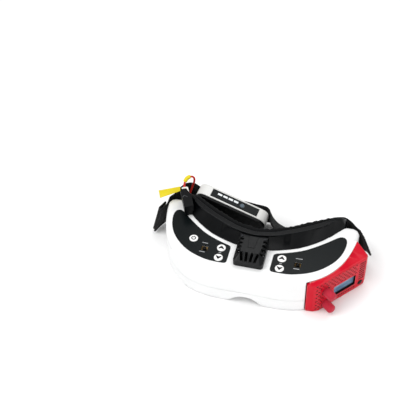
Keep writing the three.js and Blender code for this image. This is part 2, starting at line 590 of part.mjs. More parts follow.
// ---- power block on the face plate, and the battery's plug in it ----
const BLOCK = [[-83.6, 53.2], [-72.9, 30.2], [-64.9, 34.6], [-74.6, 57.2]];
const BLOCK_TURN = 24 * degrees;
const PLUG = at(-79, 55.2, 52.6).multiply(new THREE.Matrix4().makeRotationZ(BLOCK_TURN));
function powerBlock() {
  const plan = BLOCK.map(([x, y]) => v2(x, y));
  const low = BLOCK.map(([x, y]) => v2(-74 + (x + 74) * 0.86, 43 + (y - 43) * 0.86));
  const body = join(prism(plan, 49, 56.2), prism(low, SHELL_TOP + GAP, 49.1));
  const behindLip = [...offset(lip, -GAP), v2(90, 90), v2(-90, 90)];
  return cut(body, leaned(behindRim(0), SHELL_TOP, LIP_TOP + GAP), prism(behindRim(-GAP), 30, SHELL_TOP + 0.05),
    prism(behindLip, 30, 70), box(-3.5, 3.5, -3.8, 6, -2.1, 2.1, PLUG));
}
const balancePlug = () => join(box(-3.2, 3.2, -3.4, 3.4, -1.8, 1.8, PLUG), box(-2.4, 2.4, 3.3, 4.6, -1.2, 1.2, PLUG));

// ---- battery case ----
function caseShell() {
  const shell = caseBlock(0, CASE_SEAM + GAP / 2, CASE_BACK, 0, -CASE.depth);
  const hollow = caseBlock(CASE_WALL, CASE_SEAM - 1, CASE_BACK - CASE_WALL, -CASE_WALL, CASE_WALL - CASE.depth);
  const label = box(-25, 25, -4.4, 4.4, -0.8, 1, caseFrame);
  const button = rod(2.3, -3, 3, 16, caseFrame.clone().multiply(at(LABEL_BUTTON, 0, 0)));
  const place = caseFrame.clone().multiply(facing(v3(1, 0, 0), v3(0, 0, 1), 0, -1.5, LEAD_DEPTH));
  return cut(shell, hollow, label, button, rod(1.8, -42, -30, 12, place));
}
// The lid over the case's big face.
const caseLid = () => caseBlock(0.5, CASE_FRONT, CASE_SEAM - GAP / 2, -0.5, 0.5 - CASE.depth);
const LEAD_DEPTH = -27; // where the lead leaves the case's end, below the narrow side
const LABEL_BUTTON = 7.8;
const caseLabel = () => cut(box(-24.7, 24.7, -4.1, 4.1, -0.5, -0.1, caseFrame),
  rod(2.6, -3, 3, 20, caseFrame.clone().multiply(at(LABEL_BUTTON, 0, 0))));
const caseButton = () => turned([[0, -1.2], [1.9, -1.2], [2.2, 0], [1.9, 0.3], [0, 0.3]], 16,
  caseFrame.clone().multiply(at(LABEL_BUTTON, 0, 0)));
// One of the two flat cells, side by side across the thickness.
const cell = (i) => {
  const y = CASE_SEAM + 0.6 + i * 5.1;
  return box(-32, 29, y, y + 4.7, -34, -4, caseFrame);
};

// ---- strap ----
// The strap's lower edge from the -X tail round the back to the +X tail: X, Y, the strap's lean towards the goggles
// in degrees, and the edge's height.
const STRAP_ROUTE = [[-108.4, 39.5, 16, 2], [-106.6, 45, 16, 2], [-103.4, 52, 15, 2], [-99, 58.6, 9, 2],
  [-93, 62, 3, 2], [-89.6, 66, 0, 2], [-87.6, 72, 0, 2], [-84.6, 79, 2, 2], [-77, 84.4, 8, 2], [-64, 84, 15, 2],
  [-46, 81.5, 18, 2], [-28, 79.6, 18, 2], [-10, 78.2, 19, 2], [3, 78.2, 22, 2], [11, 77, 32, 2], [18.6, 74.4, 46, 2],
  [27, 72, 56, 2], [36, 70.6, 53, 2], [45, 70.6, 40, 2], [54, 71, 26, 2], [63, 71.8, 15, 2], [71, 72, 10, 2],
  [78.6, 71, 7, 2], [85.4, 66.4, 6, 2], [92, 62, 9, 3], [98.6, 58.6, 13, 7], [104, 52.6, 18, 12], [107.2, 46, 20, 15]];
// The strap's lower edge, its way along, up the band and out of it, a share of the way along the route.
function strapFrame(t) {
  const curve = (pick) => new THREE.SplineCurve(STRAP_ROUTE.map(pick));
  const path = curve(([x, y]) => v2(x, y));
  const p = path.getPoint(t);
  const way = path.getTangent(t);
  const lean = curve(([, , a], i) => v2(i, a)).getPoint(t).y * degrees;
  const low = curve(([, , , z], i) => v2(i, z)).getPoint(t).y;
  const up = v3(way.y * Math.sin(lean), -way.x * Math.sin(lean), Math.cos(lean));
  const out = v3(-way.y * Math.cos(lean), way.x * Math.cos(lean), Math.sin(lean));
  return { edge: v3(p.x, p.y, low), along: v3(way.x, way.y, 0), up, out, width: STRAP_HIGH - low };
}
// The strap: a band of even thickness standing on its lower edge.
function strap() {
  const steps = 70;
  const corners = [];
  for (let i = 0; i <= steps; i++) {
    const { edge, up, out, width } = strapFrame(i / steps);
    for (const [u, a] of [[0, 0], [width, 0], [width, STRAP_THICK], [0, STRAP_THICK]])
      corners.push(edge.clone().addScaledVector(up, u).addScaledVector(out, a));
  }
  const index = [0, 1, 2, 0, 2, 3];
  for (let i = 0; i < steps; i++)
    for (let j = 0; j < 4; j++) {
      const [a, b] = [i * 4 + j, i * 4 + ((j + 1) % 4)];
      index.push(a, a + 4, b + 4, a, b + 4, b);
    }
  const end = steps * 4;
  index.push(end, end + 2, end + 1, end, end + 3, end + 2);
  const geometry = new THREE.BufferGeometry();
  geometry.setAttribute("position", new THREE.BufferAttribute(new Float32Array(corners.flatMap((p) => p.toArray())), 3));
  geometry.setIndex(index);
  return solid(geometry);
}
// A ladder buckle on the strap's outer face: a frame with slots that the tail is threaded through.
function strapBuckle(t) {
  const { edge, along, up, out, width } = strapFrame(t);
  const middle = edge.clone().addScaledVector(up, width / 2).addScaledVector(out, STRAP_THICK + 1.6);
  const place = new THREE.Matrix4().makeBasis(along, out, up).setPosition(middle);
  const half = width / 2 + 0.6;
  const frame = box(-5, 5, -0.8, 0.8, -half, half, place);
  return cut(frame, box(-3.6, -0.8, -2, 2, 2.5 - half, half - 2.5, place), box(0.8, 3.6, -2, 2, 2.5 - half, half - 2.5, place));
}

// ---- the battery's lead ----
const LEAD_R = 1.1;
const LEAD_ROUTE = [[-81, 59.7, 52.6], [-81.8, 61.5, 53], [-82, 64.5, 55.2], [-80.4, 67.6, 58], [-77, 69.6, 59.4],
  [-74.2, 70.8, 57.4], [-74.4, 71.6, 51], [-76.6, 72, 43], [-78.6, 72, 35], [-78.4, 71.6, 30], [-76, 71, 27.9],
  [-73.4, 70.4, 27.2]].map((p) => v3(...p));
const leadPath = new THREE.CatmullRomCurve3(LEAD_ROUTE);
const round = (r, sides) => new THREE.Shape(Array.from({ length: sides }, (_, i) =>
  v2(r * Math.cos((i * 2 * Math.PI) / sides), r * Math.sin((i * 2 * Math.PI) / sides))));
const alongPath = (shape, extrudePath, steps) =>
  solid(new THREE.ExtrudeGeometry(shape, { extrudePath, steps, bevelEnabled: false }));
const lead = () => alongPath(round(LEAD_R, 8), leadPath, 36);
// The sleeve round the top of the lead's bend.
function leadWrap() {
  const middle = new THREE.CatmullRomCurve3([0.2, 0.25, 0.3, 0.35].map((t) => leadPath.getPoint(t)));
  const longer = new THREE.CatmullRomCurve3([0.17, 0.2, 0.25, 0.3, 0.35, 0.38].map((t) => leadPath.getPoint(t)));
  return cut(alongPath(round(2, 10), middle, 6), alongPath(round(LEAD_R + 0.35, 10), longer, 12));
}
// A folded paper flag beside the plug.
function leadTag() {
  const place = at(-82.6, 61.4, 51.2).multiply(new THREE.Matrix4().makeRotationZ(0.42));
  return box(-21.5, -3.4, -6.4, 1.6, -0.3, 0.3, place);
}

// ---- assembly ----
const WHITE = 0xf2f2f0;
const BLACK = 0x1b1d20;
const RED = 0xd0142c;
const goggles = new THREE.Group();
goggles.add(
  part("upper_shell", upperShell(), WHITE, 0.28),
  part("lower_shell", lowerShell(), WHITE, 0.28),
  part("socket_cover", socketCover(), WHITE, 0.28),
  part("face_plate", facePlate(), BLACK, 0.45),
  part("foam_pad", foamPad(), 0x161616, 0.95),
  part("eyepiece_cover", eyepieceCover(), BLACK, 0.7),
  part("main_board", mainBoard(), 0x1c5a34, 0.5),
  part("power_jack", powerJack(), BLACK, 0.5),
  part("av_jack", avJack(), BLACK, 0.5),
  part("card_socket", cardSocket(), 0xb9bcc0, 0.4, 0.9),
  part("memory_card", memoryCard(), 0x202020, 0.6),
  part("fan_housing", fanHousing(), BLACK, 0.5),
  part("fan_rotor", fanRotor(), 0x2a2a2c, 0.5),
  part("power_block", powerBlock(), BLACK, 0.5),
  part("balance_plug", balancePlug(), 0xf0efe8, 0.45),
  part("battery_lead", lead(), 0xc8201c, 0.45),
  part("lead_wrap", leadWrap(), 0xf1e01a, 0.5),
  part("lead_tag", leadTag(), 0xf1e01a, 0.5),
  part("case_shell", caseShell(), WHITE, 0.35),
  part("case_lid", caseLid(), BLACK, 0.6),
  part("case_label", caseLabel(), 0x14181c, 0.25),
  part("case_button", caseButton(), 0x70757a, 0.5),
  part("bay_cover", bayCover(), RED, 0.35),
  part("receiver_module", receiverModule().add(buttonPost()), 0x202326, 0.6),
  part("receiver_screen", receiverScreen(), 0x6f8aa8, 0.15),
  part("receiver_button", receiverButton(), 0x0c0c0d, 0.4),
  part("strap", strap(), 0x141414, 0.9),
  part("buckle_left", strapBuckle(0.36), BLACK, 0.5),
  part("buckle_right", strapBuckle(0.045), BLACK, 0.5),
);
for (const [side, word] of [[-1, "right"], [1, "left"]]) {
  goggles.add(
    part("control_panel_" + word, controlPanel(side), 0x14181c, 0.25),
    part("stick_frame_" + word, stickFrame(side), 0xc9a24a, 0.35, 1),
    part("stick_gimbal_" + word, stickGimbal(side), 0x2a2a2c, 0.5),
    part("stick_cup_" + word, stickCup(side), 0x2a2a2c, 0.5),
    part("stick_cap_" + word, stickCap(side), 0x101010, 0.5),
    part("fan_screw_" + word, fanScrew(side), 0x17181a, 0.35, 0.9),
    part("eyepiece_" + word, eyeBarrel(side), BLACK, 0.6),
    part("lens_" + word, eyeLens(side), 0xcfe0e6, 0.05),
    part("display_" + word, eyeDisplay(side), 0x20242a, 0.3),
  );
  const names = ["button_up_", "button_down_", "button_enter_"];
  buttonPlaces(side).forEach(([x, y], i) => goggles.add(part(names[i] + word, button(x, y), 0xf4f4f2, 0.3)));
}
for (const i of [0, 1]) {
  const word = ["low", "high"][i];
  goggles.add(
    part("antenna_socket_" + word, antennaSocket(i), 0xc9a24a, 0.3, 1),
    part("antenna_cap_" + word, antennaCap(i), RED, 0.6),
    part("cell_" + (i + 1), cell(i), 0x9aa0a6, 0.35, 0.6),
  );
}
goggles.position.copy(CENTRE).negate();

export default goggles;
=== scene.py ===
import json
import math

import bmesh
import bpy
from mathutils import Matrix, Vector, noise


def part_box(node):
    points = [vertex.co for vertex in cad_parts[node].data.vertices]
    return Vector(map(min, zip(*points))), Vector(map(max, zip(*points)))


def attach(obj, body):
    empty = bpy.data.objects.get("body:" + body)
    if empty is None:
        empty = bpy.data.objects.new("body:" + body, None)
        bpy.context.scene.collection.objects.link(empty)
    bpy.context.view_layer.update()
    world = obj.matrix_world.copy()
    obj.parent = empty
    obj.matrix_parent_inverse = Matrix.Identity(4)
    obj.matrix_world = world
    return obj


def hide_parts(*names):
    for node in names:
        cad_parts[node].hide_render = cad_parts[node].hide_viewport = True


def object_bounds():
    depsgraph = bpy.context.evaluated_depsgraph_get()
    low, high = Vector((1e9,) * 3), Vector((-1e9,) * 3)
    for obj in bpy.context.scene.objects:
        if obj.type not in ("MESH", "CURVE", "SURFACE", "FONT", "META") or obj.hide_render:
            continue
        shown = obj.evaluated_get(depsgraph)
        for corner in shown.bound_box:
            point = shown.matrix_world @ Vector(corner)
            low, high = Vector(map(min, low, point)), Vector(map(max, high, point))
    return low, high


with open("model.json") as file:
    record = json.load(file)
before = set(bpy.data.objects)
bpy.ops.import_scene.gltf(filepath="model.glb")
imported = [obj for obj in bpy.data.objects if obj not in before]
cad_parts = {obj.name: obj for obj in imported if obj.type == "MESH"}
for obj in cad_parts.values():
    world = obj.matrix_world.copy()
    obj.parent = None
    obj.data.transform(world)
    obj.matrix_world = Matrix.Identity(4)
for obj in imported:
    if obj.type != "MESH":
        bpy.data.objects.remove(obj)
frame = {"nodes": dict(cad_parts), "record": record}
cad_low, cad_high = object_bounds()
nodes = frame["nodes"]
body_of = {n: b for b, ns in frame["record"]["behaviour"]["bodies"].items() for n in ns}
ORIGIN = Vector((-1.64, 29.65, 0.0))  # the frame's origin in the part's own drawing, in millimetres
MM = 0.001
UP = Vector((0, 0, 1))


def at(x, y, z):
    """A point of the drawing, in millimetres, as a place in the frame."""
    return (Vector((x, y, z)) - ORIGIN) * MM


# ---------------------------------------------------------------- materials
SOCKETS = {
    "color": "Base Color", "rough": "Roughness", "metal": "Metallic", "spec": "Specular IOR Level",
    "coat": "Coat Weight", "coat_rough": "Coat Roughness", "sheen": "Sheen Weight",
    "sheen_rough": "Sheen Roughness", "glass": "Transmission Weight", "ior": "IOR",
    "emit": "Emission Color", "emit_power": "Emission Strength",
}
MIX_SHARE, MIX_FIRST, MIX_SECOND = 0, 6, 7  # a colour mix node's inputs by number
MIX_COLOR = 2  # and its output
BEVEL_SAMPLES = 6


class Look:
    """A small builder for one procedural material."""

    def __init__(self, name):
        self.mat = bpy.data.materials.new(name)
        self.mat.use_nodes = True
        self.tree = self.mat.node_tree
        self.shader = self.tree.nodes["Principled BSDF"]
        self.coords = self.node("ShaderNodeTexCoord").outputs["Object"]

    def node(self, kind, **inputs):
        made = self.tree.nodes.new(kind)
        for key, value in inputs.items():
            made.inputs[key].default_value = value
        return made

    def link(self, a, b):
        self.tree.links.new(a, b)

    def set(self, **values):
        """Constants on the shader's own sockets."""
        for key, value in values.items():
            if isinstance(value, tuple):
                value = (*value, 1.0)
            self.shader.inputs[SOCKETS[key]].default_value = value
        return self

    def noise(self, scale, detail=3.0, stretch=None):
        """Noise of a scale per metre, stretched along the axes if asked."""
        tex = self.node("ShaderNodeTexNoise", Scale=scale, Detail=detail)
        source = self.coords
        if stretch:
            mapping = self.node("ShaderNodeMapping", Scale=stretch)
            self.link(source, mapping.inputs["Vector"])
            source = mapping.outputs["Vector"]
        self.link(source, tex.inputs["Vector"])
        return tex.outputs["Fac"]

    def spread(self, value, low, high, floor=0.3, ceiling=0.7):
        """A value stretched from its own range, floor to ceiling, to another."""
        ramp = self.node("ShaderNodeMapRange")
        for key, number in (("From Min", floor), ("From Max", ceiling), ("To Min", low), ("To Max", high)):
            ramp.inputs[key].default_value = number
        self.link(value, ramp.inputs["Value"])
        return ramp.outputs["Result"]

    def color_mix(self, share, second):
        """A colour mix by a share into a second colour; its first colour is left to set or link."""
        mix = self.node("ShaderNodeMix")
        mix.data_type = "RGBA"
        mix.inputs[MIX_SECOND].default_value = (*second, 1)
        self.link(share, mix.inputs[MIX_SHARE])
        return mix

    def tint(self, value, dark, light):
        mix = self.color_mix(value, light)
        mix.inputs[MIX_FIRST].default_value = (*dark, 1)
        self.link(mix.outputs[MIX_COLOR], self.shader.inputs["Base Color"])
        return self

    def bevel(self, radius):
        """The normal of edges rounded to a radius in metres."""
        made = self.node("ShaderNodeBevel", Radius=radius)
        made.samples = BEVEL_SAMPLES
        return made.outputs["Normal"]

    def paint_edge_highlight(self, edge, highlight_color):
        """A painted highlight: edges made paler where the rounded normal leaves the true one."""
        true = self.node("ShaderNodeNewGeometry")
        dot = self.node("ShaderNodeVectorMath")
        dot.operation = "DOT_PRODUCT"
        self.link(self.bevel(edge), dot.inputs[0])
        self.link(true.outputs["Normal"], dot.inputs[1])
        strongest_highlight, sharp_edge, flat_area = 0.75, 0.86, 0.985
        amount = self.spread(dot.outputs["Value"], strongest_highlight, 0.0, sharp_edge, flat_area)
        base = self.shader.inputs["Base Color"].links[0].from_socket
        mix = self.color_mix(amount, highlight_color)
        self.link(base, mix.inputs[MIX_FIRST])
        self.link(mix.outputs[MIX_COLOR], self.shader.inputs["Base Color"])

    def roughen(self, value, low, high):
        self.link(self.spread(value, low, high), self.shader.inputs["Roughness"])
        return self

    def surface(self, edge=0.0, *bumps):
        """Rounded edges of a radius in metres, then bumps given as (height, strength, distance)."""
        normal = self.bevel(edge) if edge else None
        for height, strength, distance in bumps:
            bump = self.node("ShaderNodeBump", Strength=strength, Distance=distance)
            self.link(height, bump.inputs["Height"])
            if normal is not None:
                self.link(normal, bump.inputs["Normal"])
            normal = bump.outputs["Normal"]
        self.link(normal, self.shader.inputs["Normal"])
        return self.mat


def plastic(name, dark, light, rough, spec, edge, grain, grain_scale=5200.0, uneven=0.05, edge_highlight=None,
            **more):
    """Moulded plastic: a faint mottle, uneven gloss, a fine grain and, if asked, edges painted paler as a
    highlight.
    """
    look = Look(name).set(spec=spec, **more)
    look.tint(look.spread(look.noise(60.0, 4.0), 0.0, 1.0), dark, light)
    if edge_highlight:
        # Painted highlight: paler colour mixed in along rounded edges.
        look.paint_edge_highlight(edge, edge_highlight)
    look.roughen(look.noise(420.0, 4.0), rough - uneven, rough + uneven)
    grain_depth = 0.00005
    return look.surface(edge, (look.noise(grain_scale, 2.0), grain, grain_depth))


# Each plastic: darkest and lightest colour, roughness, specular level, edge radius, grain strength, extras.
WHITE = plastic("white_shell_abs", (0.77, 0.775, 0.775), (0.80, 0.805, 0.805), 0.3, 0.35, 0.0006, 0.012,
                uneven=0.02, coat=0.1, coat_rough=0.15)
WHITE_CASE = plastic("white_case_abs", (0.62, 0.62, 0.60), (0.66, 0.66, 0.645), 0.4, 0.35, 0.0011, 0.02,
                     uneven=0.02)
BLACK = plastic("black_abs", (0.0018, 0.002, 0.0024), (0.003, 0.0034, 0.004), 0.38, 0.12, 0.0004, 0.1)
# The soft-touch black gets a painted highlight along its edges, for the light line on the lip.
SOFT_BLACK = plastic("black_soft_touch", (0.0016, 0.0019, 0.0023), (0.0026, 0.003, 0.0036), 0.32, 0.14,
                     0.0010, 0.04, uneven=0.03, edge_highlight=(0.035, 0.037, 0.040))
FAN_BLACK = plastic("black_fan_nylon", (0.0026, 0.003, 0.0034), (0.0042, 0.0047, 0.0053), 0.34, 0.2, 0.0004,
                    0.1)
PANEL = plastic("black_panel_film", (0.0035, 0.0052, 0.0056), (0.0040, 0.0058, 0.0063), 0.26, 0.11, 0.0003,
                0.003, uneven=0.012)
# Near-black for parts inside the goggles, also used as painted shade on the window's edge faces and in the
# case's end slots.
INNER_AND_SHADE = plastic("black_inside_and_painted_shade", (0.004, 0.004, 0.004), (0.006, 0.006, 0.006), 0.8, 0.1, 0.0003, 0.2)
BUTTON = plastic("button_white_silicone", (0.84, 0.84, 0.83), (0.88, 0.88, 0.87), 0.35, 0.4, 0.0004, 0.08)
PRINT = plastic("print_black", (0.006, 0.006, 0.007), (0.009, 0.009, 0.010), 0.5, 0.2, 0.0, 0.05)
PRINT_GREY = plastic("print_grey", (0.34, 0.35, 0.36), (0.42, 0.43, 0.44), 0.5, 0.2, 0.0, 0.05)
PRINT_FAINT = plastic("print_faint", (0.05, 0.052, 0.055), (0.07, 0.072, 0.075), 0.5, 0.2, 0.0, 0.05)
LIGHT_BAR = plastic("light_bar", (0.62, 0.66, 0.68), (0.74, 0.77, 0.78), 0.3, 0.4, 0.0, 0.05)
CASE_BUTTON = plastic("case_button_rubber", (0.075, 0.10, 0.125), (0.09, 0.12, 0.145), 0.6, 0.3, 0.0003,
                      0.3)
# The red gets a painted highlight along its edges, for the light lines along its ridges.
RED = plastic("red_abs", (0.50, 0.0006, 0.013), (0.55, 0.0009, 0.017), 0.33, 0.12, 0.0010, 0.012, coat=0.05,
              coat_rough=0.12, uneven=0.03, edge_highlight=(0.85, 0.16, 0.17))
# A darker copy of the red: painted shade on the walls of the grille's openings.
RED_SHADE = plastic("red_abs_painted_shade", (0.045, 0.0003, 0.002), (0.06, 0.0005, 0.003), 0.6, 0.1, 0.0, 0.02)
RUBBER_RED = plastic("red_silicone", (0.40, 0.010, 0.030), (0.48, 0.014, 0.040), 0.6, 0.25, 0.0007, 0.12,
                     2600.0, sheen=0.08)
YELLOW = plastic("yellow_label", (0.62, 0.50, 0.006), (0.70, 0.57, 0.010), 0.42, 0.3, 0.0002, 0.05)
CONNECTOR = plastic("white_nylon_connector", (0.72, 0.71, 0.66), (0.80, 0.79, 0.74), 0.4, 0.4, 0.0003, 0.2)
WIRE_RED = plastic("wire_red_silicone", (0.50, 0.018, 0.012), (0.60, 0.026, 0.016), 0.45, 0.4, 0.0, 0.15)
WIRE_BLACK = plastic("wire_black_silicone", (0.008, 0.008, 0.008), (0.014, 0.014, 0.014), 0.45, 0.4, 0.0,
                     0.15)
FOIL = plastic("cell_foil", (0.45, 0.46, 0.48), (0.55, 0.56, 0.58), 0.35, 0.5, 0.0005, 0.5, 900.0,
               metal=0.7)
BOARD = plastic("board_green", (0.012, 0.10, 0.035), (0.018, 0.14, 0.05), 0.35, 0.5, 0.0002, 0.2, 1500.0)
DISPLAY = plastic("display_dark", (0.006, 0.008, 0.012), (0.01, 0.013, 0.018), 0.15, 0.5, 0.0003, 0.05)


def brushed_metal(name, color, rough):
    """Metal with fine streaks along Y."""
    look = Look(name).set(color=color, metal=1.0)
    streak = look.noise(2400.0, 3.0, (1.0, 12.0, 1.0))
    look.roughen(streak, rough - 0.06, rough + 0.1)
    return look.surface(0.0002, (streak, 0.15, 0.00003))


GOLD = brushed_metal("gold_contact", (0.78, 0.52, 0.20), 0.3)
BRONZE = brushed_metal("stick_contact", (0.13, 0.085, 0.035), 0.42)
STEEL = brushed_metal("card_shield", (0.55, 0.56, 0.58), 0.28)
SCREW = brushed_metal("screw_black_oxide", (0.035, 0.036, 0.04), 0.4)


def pile_cloth(name, dark, light, scale, strength):
    """Short-pile cloth over foam: matt, with a fine knit and soft mottle."""
    look = Look(name).set(spec=0.07, sheen=0.05, sheen_rough=0.5, rough=0.9)
    look.tint(look.spread(look.noise(900.0, 5.0), 0.0, 1.0), dark, light)
    knit = look.node("ShaderNodeTexVoronoi", Scale=scale)
    look.link(look.coords, knit.inputs["Vector"])
    mottle = (look.noise(160.0, 3.0), 0.25, 0.0006)
    return look.surface(0.0, mottle, (knit.outputs["Distance"], strength, 0.0002))


FOAM = pile_cloth("foam_cloth", (0.0025, 0.0027, 0.0031), (0.006, 0.0063, 0.007), 1500.0, 0.35)


def webbing(name, warp_pitch=0.0016, weft_pitch=0.0011):
    """Elastic webbing: ribs along the band and a weft across it, from the band's UV map in metres."""
    look = Look(name).set(spec=0.1, sheen=0.05, sheen_rough=0.5, rough=0.8)
    uv = look.node("ShaderNodeUVMap")
    uv.uv_map = "band"
    split = look.node("ShaderNodeSeparateXYZ")
    look.link(uv.outputs["UV"], split.inputs[0])

    def math_node(operation, source):
        made = look.node("ShaderNodeMath")
        made.operation = operation
        look.link(source, made.inputs[0])
        return made

    def wave(source, pitch):
        scaled = math_node("MULTIPLY", source)
        scaled.inputs[1].default_value = 2 * math.pi / pitch
        return math_node("SINE", scaled.outputs[0]).outputs[0]

    warp = wave(split.outputs["Y"], warp_pitch)
    weft = wave(split.outputs["X"], weft_pitch)
    crossing = math_node("MULTIPLY", warp)
    look.link(weft, crossing.inputs[1])
    weave = crossing.outputs[0]
    # The weave's raised crossings are painted lighter and its hollows darker: painted highlight and shade
    # that follow the bump.
    look.tint(look.spread(weave, 0.0, 1.0, -1.0, 1.0), (0.0022, 0.0024, 0.0028), (0.009, 0.0095, 0.0105))
    return look.surface(0.0, (warp, 0.5, 0.0002), (weave, 0.5, 0.00015))


WEBBING = webbing("strap_webbing")


def clear_glass(name, tint):
    """Moulded acrylic, very slightly uneven."""
    look = Look(name).set(color=tint, glass=1.0, ior=1.49, spec=0.5)
    look.roughen(look.noise(300.0, 3.0), 0.02, 0.05)
    return look.surface(0.0003, (look.noise(2200.0, 2.0), 0.02, 0.00003))


GLASS = clear_glass("lens_acrylic", (0.90, 0.95, 1.0))


def lit_screen(name):
    """A softly lit grey-blue display behind a clear, glossy window, with a cloudy variation."""
    look = Look(name).set(spec=0.45, coat=0.5, coat_rough=0.05)
    haze = look.noise(140.0, 2.0)
    look.tint(look.spread(haze, 0.0, 1.0), (0.06, 0.115, 0.19), (0.155, 0.235, 0.335))
    look.set(rough=0.18, emit=(0.10, 0.17, 0.26), emit_power=0.35)
    return look.surface(0.0002, (look.noise(900.0, 2.0), 0.05, 0.00004))


SCREEN = lit_screen("receiver_screen_glass")


# ---------------------------------------------------------------- mesh helpers
SMOOTH_ANGLE = 38.0  # edges sharper than this, in degrees, stay sharp
WELD_DISTANCE = 2e-6
FLAT_ANGLE = 0.8


def smooth_shaded(mesh, angle):
    for polygon in mesh.polygons:
        polygon.use_smooth = True
    mesh.set_sharp_from_angle(angle=math.radians(angle))


def finish_mesh(name, mesh, material, body, replaced=(), angle=SMOOTH_ANGLE):
    """A mesh made into a named piece that rides on a body."""
    mesh.name = name
    mesh.materials.clear()
    mesh.materials.append(material)
    smooth_shaded(mesh, angle)
    piece = bpy.data.objects.new(name, mesh)
    bpy.context.scene.collection.objects.link(piece)
    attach(piece, body)
    if replaced:
        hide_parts(*replaced)
    return piece


def stand_in(name, mesh, material, node, angle=SMOOTH_ANGLE):
    """A piece that takes a CAD node's place and rides on its body."""
    return finish_mesh(name, mesh, material, body_of[node], (node,), angle)


def welded(node):
    """A CAD node's mesh as one joined surface with its flat areas merged."""
    bm = bmesh.new()
    bm.from_mesh(nodes[node].data)
    bmesh.ops.remove_doubles(bm, verts=bm.verts, dist=WELD_DISTANCE)
    bmesh.ops.dissolve_limit(bm, angle_limit=math.radians(FLAT_ANGLE), verts=bm.verts, edges=bm.edges)
    return bm


def to_mesh(bm, name):
    bmesh.ops.recalc_face_normals(bm, faces=bm.faces)
    mesh = bpy.data.meshes.new(name)
    bm.to_mesh(mesh)
    bm.free()
    return mesh


def weigh(piece):
    """Face-weighted normals, so that flat areas shade flat up to their rounded edges."""
    weighted = piece.modifiers.new("weighted", "WEIGHTED_NORMAL")
    weighted.keep_sharp = True
    weighted.weight = 80


def dress(node, material, angle=SMOOTH_ANGLE):
    """The CAD node's own shape with smooth shading, as a piece in its place."""
    name = node + "_skin"
    weigh(stand_in(name, to_mesh(welded(node), name), material, node, angle))


def evaluated_mesh(piece):
    """A piece's mesh with its modifiers, as a mesh of its own."""
    return bpy.data.meshes.new_from_object(piece.evaluated_get(bpy.context.evaluated_depsgraph_get()))


def apply_modifiers(piece):
    made = evaluated_mesh(piece)
    piece.modifiers.clear()
    old = piece.data
    piece.data = made
    bpy.data.meshes.remove(old)


def plate(name, outline, place, thick, material, body, holes=()):
    """A thin plate from a closed outline in millimetres, in its own plane at a matrix."""
    curve = bpy.data.curves.new(name + "_curve", "CURVE")
    curve.dimensions = "2D"
    curve.fill_mode = "BOTH"
    for ring in (outline, *holes):
        line = curve.splines.new("POLY")
        line.points.add(len(ring) - 1)
        for point, (x, y) in zip(line.points, ring):
            point.co = (x * MM, y * MM, 0, 1)
        line.use_cyclic_u = True
    curve.extrude = thick * MM / 2
    holder = bpy.data.objects.new(name + "_holder", curve)
    bpy.context.scene.collection.objects.link(holder)
    bpy.context.view_layer.update()
    mesh = evaluated_mesh(holder)
    mesh.transform(place)
    bpy.data.objects.remove(holder)
    bpy.data.curves.remove(curve)
    finish_mesh(name, mesh, material, body)


def rounded(width, height, radius, steps=5):
    """A rounded rectangle's outline about the origin."""
    points = []
    for cx, cy, start in ((1, 1, 0), (-1, 1, 90), (-1, -1, 180), (1, -1, 270)):
        for i in range(steps + 1):
            a = math.radians(start + 90 * i / steps)
            points.append((cx * (width / 2 - radius) + radius * math.cos(a),
                           cy * (height / 2 - radius) + radius * math.sin(a)))
    return points


def circle(radius, sides=32):
    angles = [2 * math.pi * i / sides for i in range(sides)]
    return [(radius * math.cos(a), radius * math.sin(a)) for a in angles]


def arc(radius, width, start, end, steps=22):
    """A ring's stretch as an outline, angles in degrees."""
    angles = [math.radians(start + (end - start) * i / steps) for i in range(steps + 1)]
    outer = [((radius + width / 2) * math.cos(a), (radius + width / 2) * math.sin(a)) for a in angles]
    inner = [((radius - width / 2) * math.cos(a), (radius - width / 2) * math.sin(a)) for a in angles]
    return outer + inner[::-1]


def flat(x, y, z, turn=0.0):
    """A level place at a point of the drawing, turned by an angle in degrees."""
    return Matrix.Translation(at(x, y, z)) @ Matrix.Rotation(math.radians(turn), 4, "Z")


def spline(points, count):
    """A Catmull-Rom curve through points, as evenly counted Vectors."""
    pts = [Vector(p) for p in points]
    last = len(pts) - 1
    out = []
    for k in range(count + 1):
        t = k / count * last
        i = min(int(t), last - 1)
        f = t - i
        p0, p1, p2, p3 = pts[max(i - 1, 0)], pts[i], pts[i + 1], pts[min(i + 2, last)]
        out.append(0.5 * ((2 * p1) + (p2 - p0) * f + (2 * p0 - 5 * p1 + 4 * p2 - p3) * f * f
                          + (3 * p1 - p0 - 3 * p2 + p3) * f ** 3))
    return out


def way_at(path, i):
    """The direction of a path at one of its points."""
    return (path[min(i + 1, len(path) - 1)] - path[max(i - 1, 0)]).normalized()


def sides_along(path):
    """Two directions square to the path that don't twist, at each of its points."""
    sides = []
    side = way_at(path, 0).orthogonal().normalized()
    for i in range(len(path)):
        way = way_at(path, i)
        side = (side - way * side.dot(way)).normalized()
        sides.append((side, way.cross(side)))
    return sides


def tube(path, radii, sides):
    """A capped tube about a path of frame points, with a radius for each."""
    bm = bmesh.new()
    rings = []
    angles = [2 * math.pi * j / sides for j in range(sides)]
    for p, (a, b), r in zip(path, sides_along(path), radii):
        rings.append([bm.verts.new(p + (a * math.cos(t) + b * math.sin(t)) * r) for t in angles])
    for near, far in zip(rings, rings[1:]):
        for j in range(sides):
            k = (j + 1) % sides
            bm.faces.new((near[j], near[k], far[k], far[j]))
    bm.faces.new(list(reversed(rings[0])))
    bm.faces.new(rings[-1])
    return bm


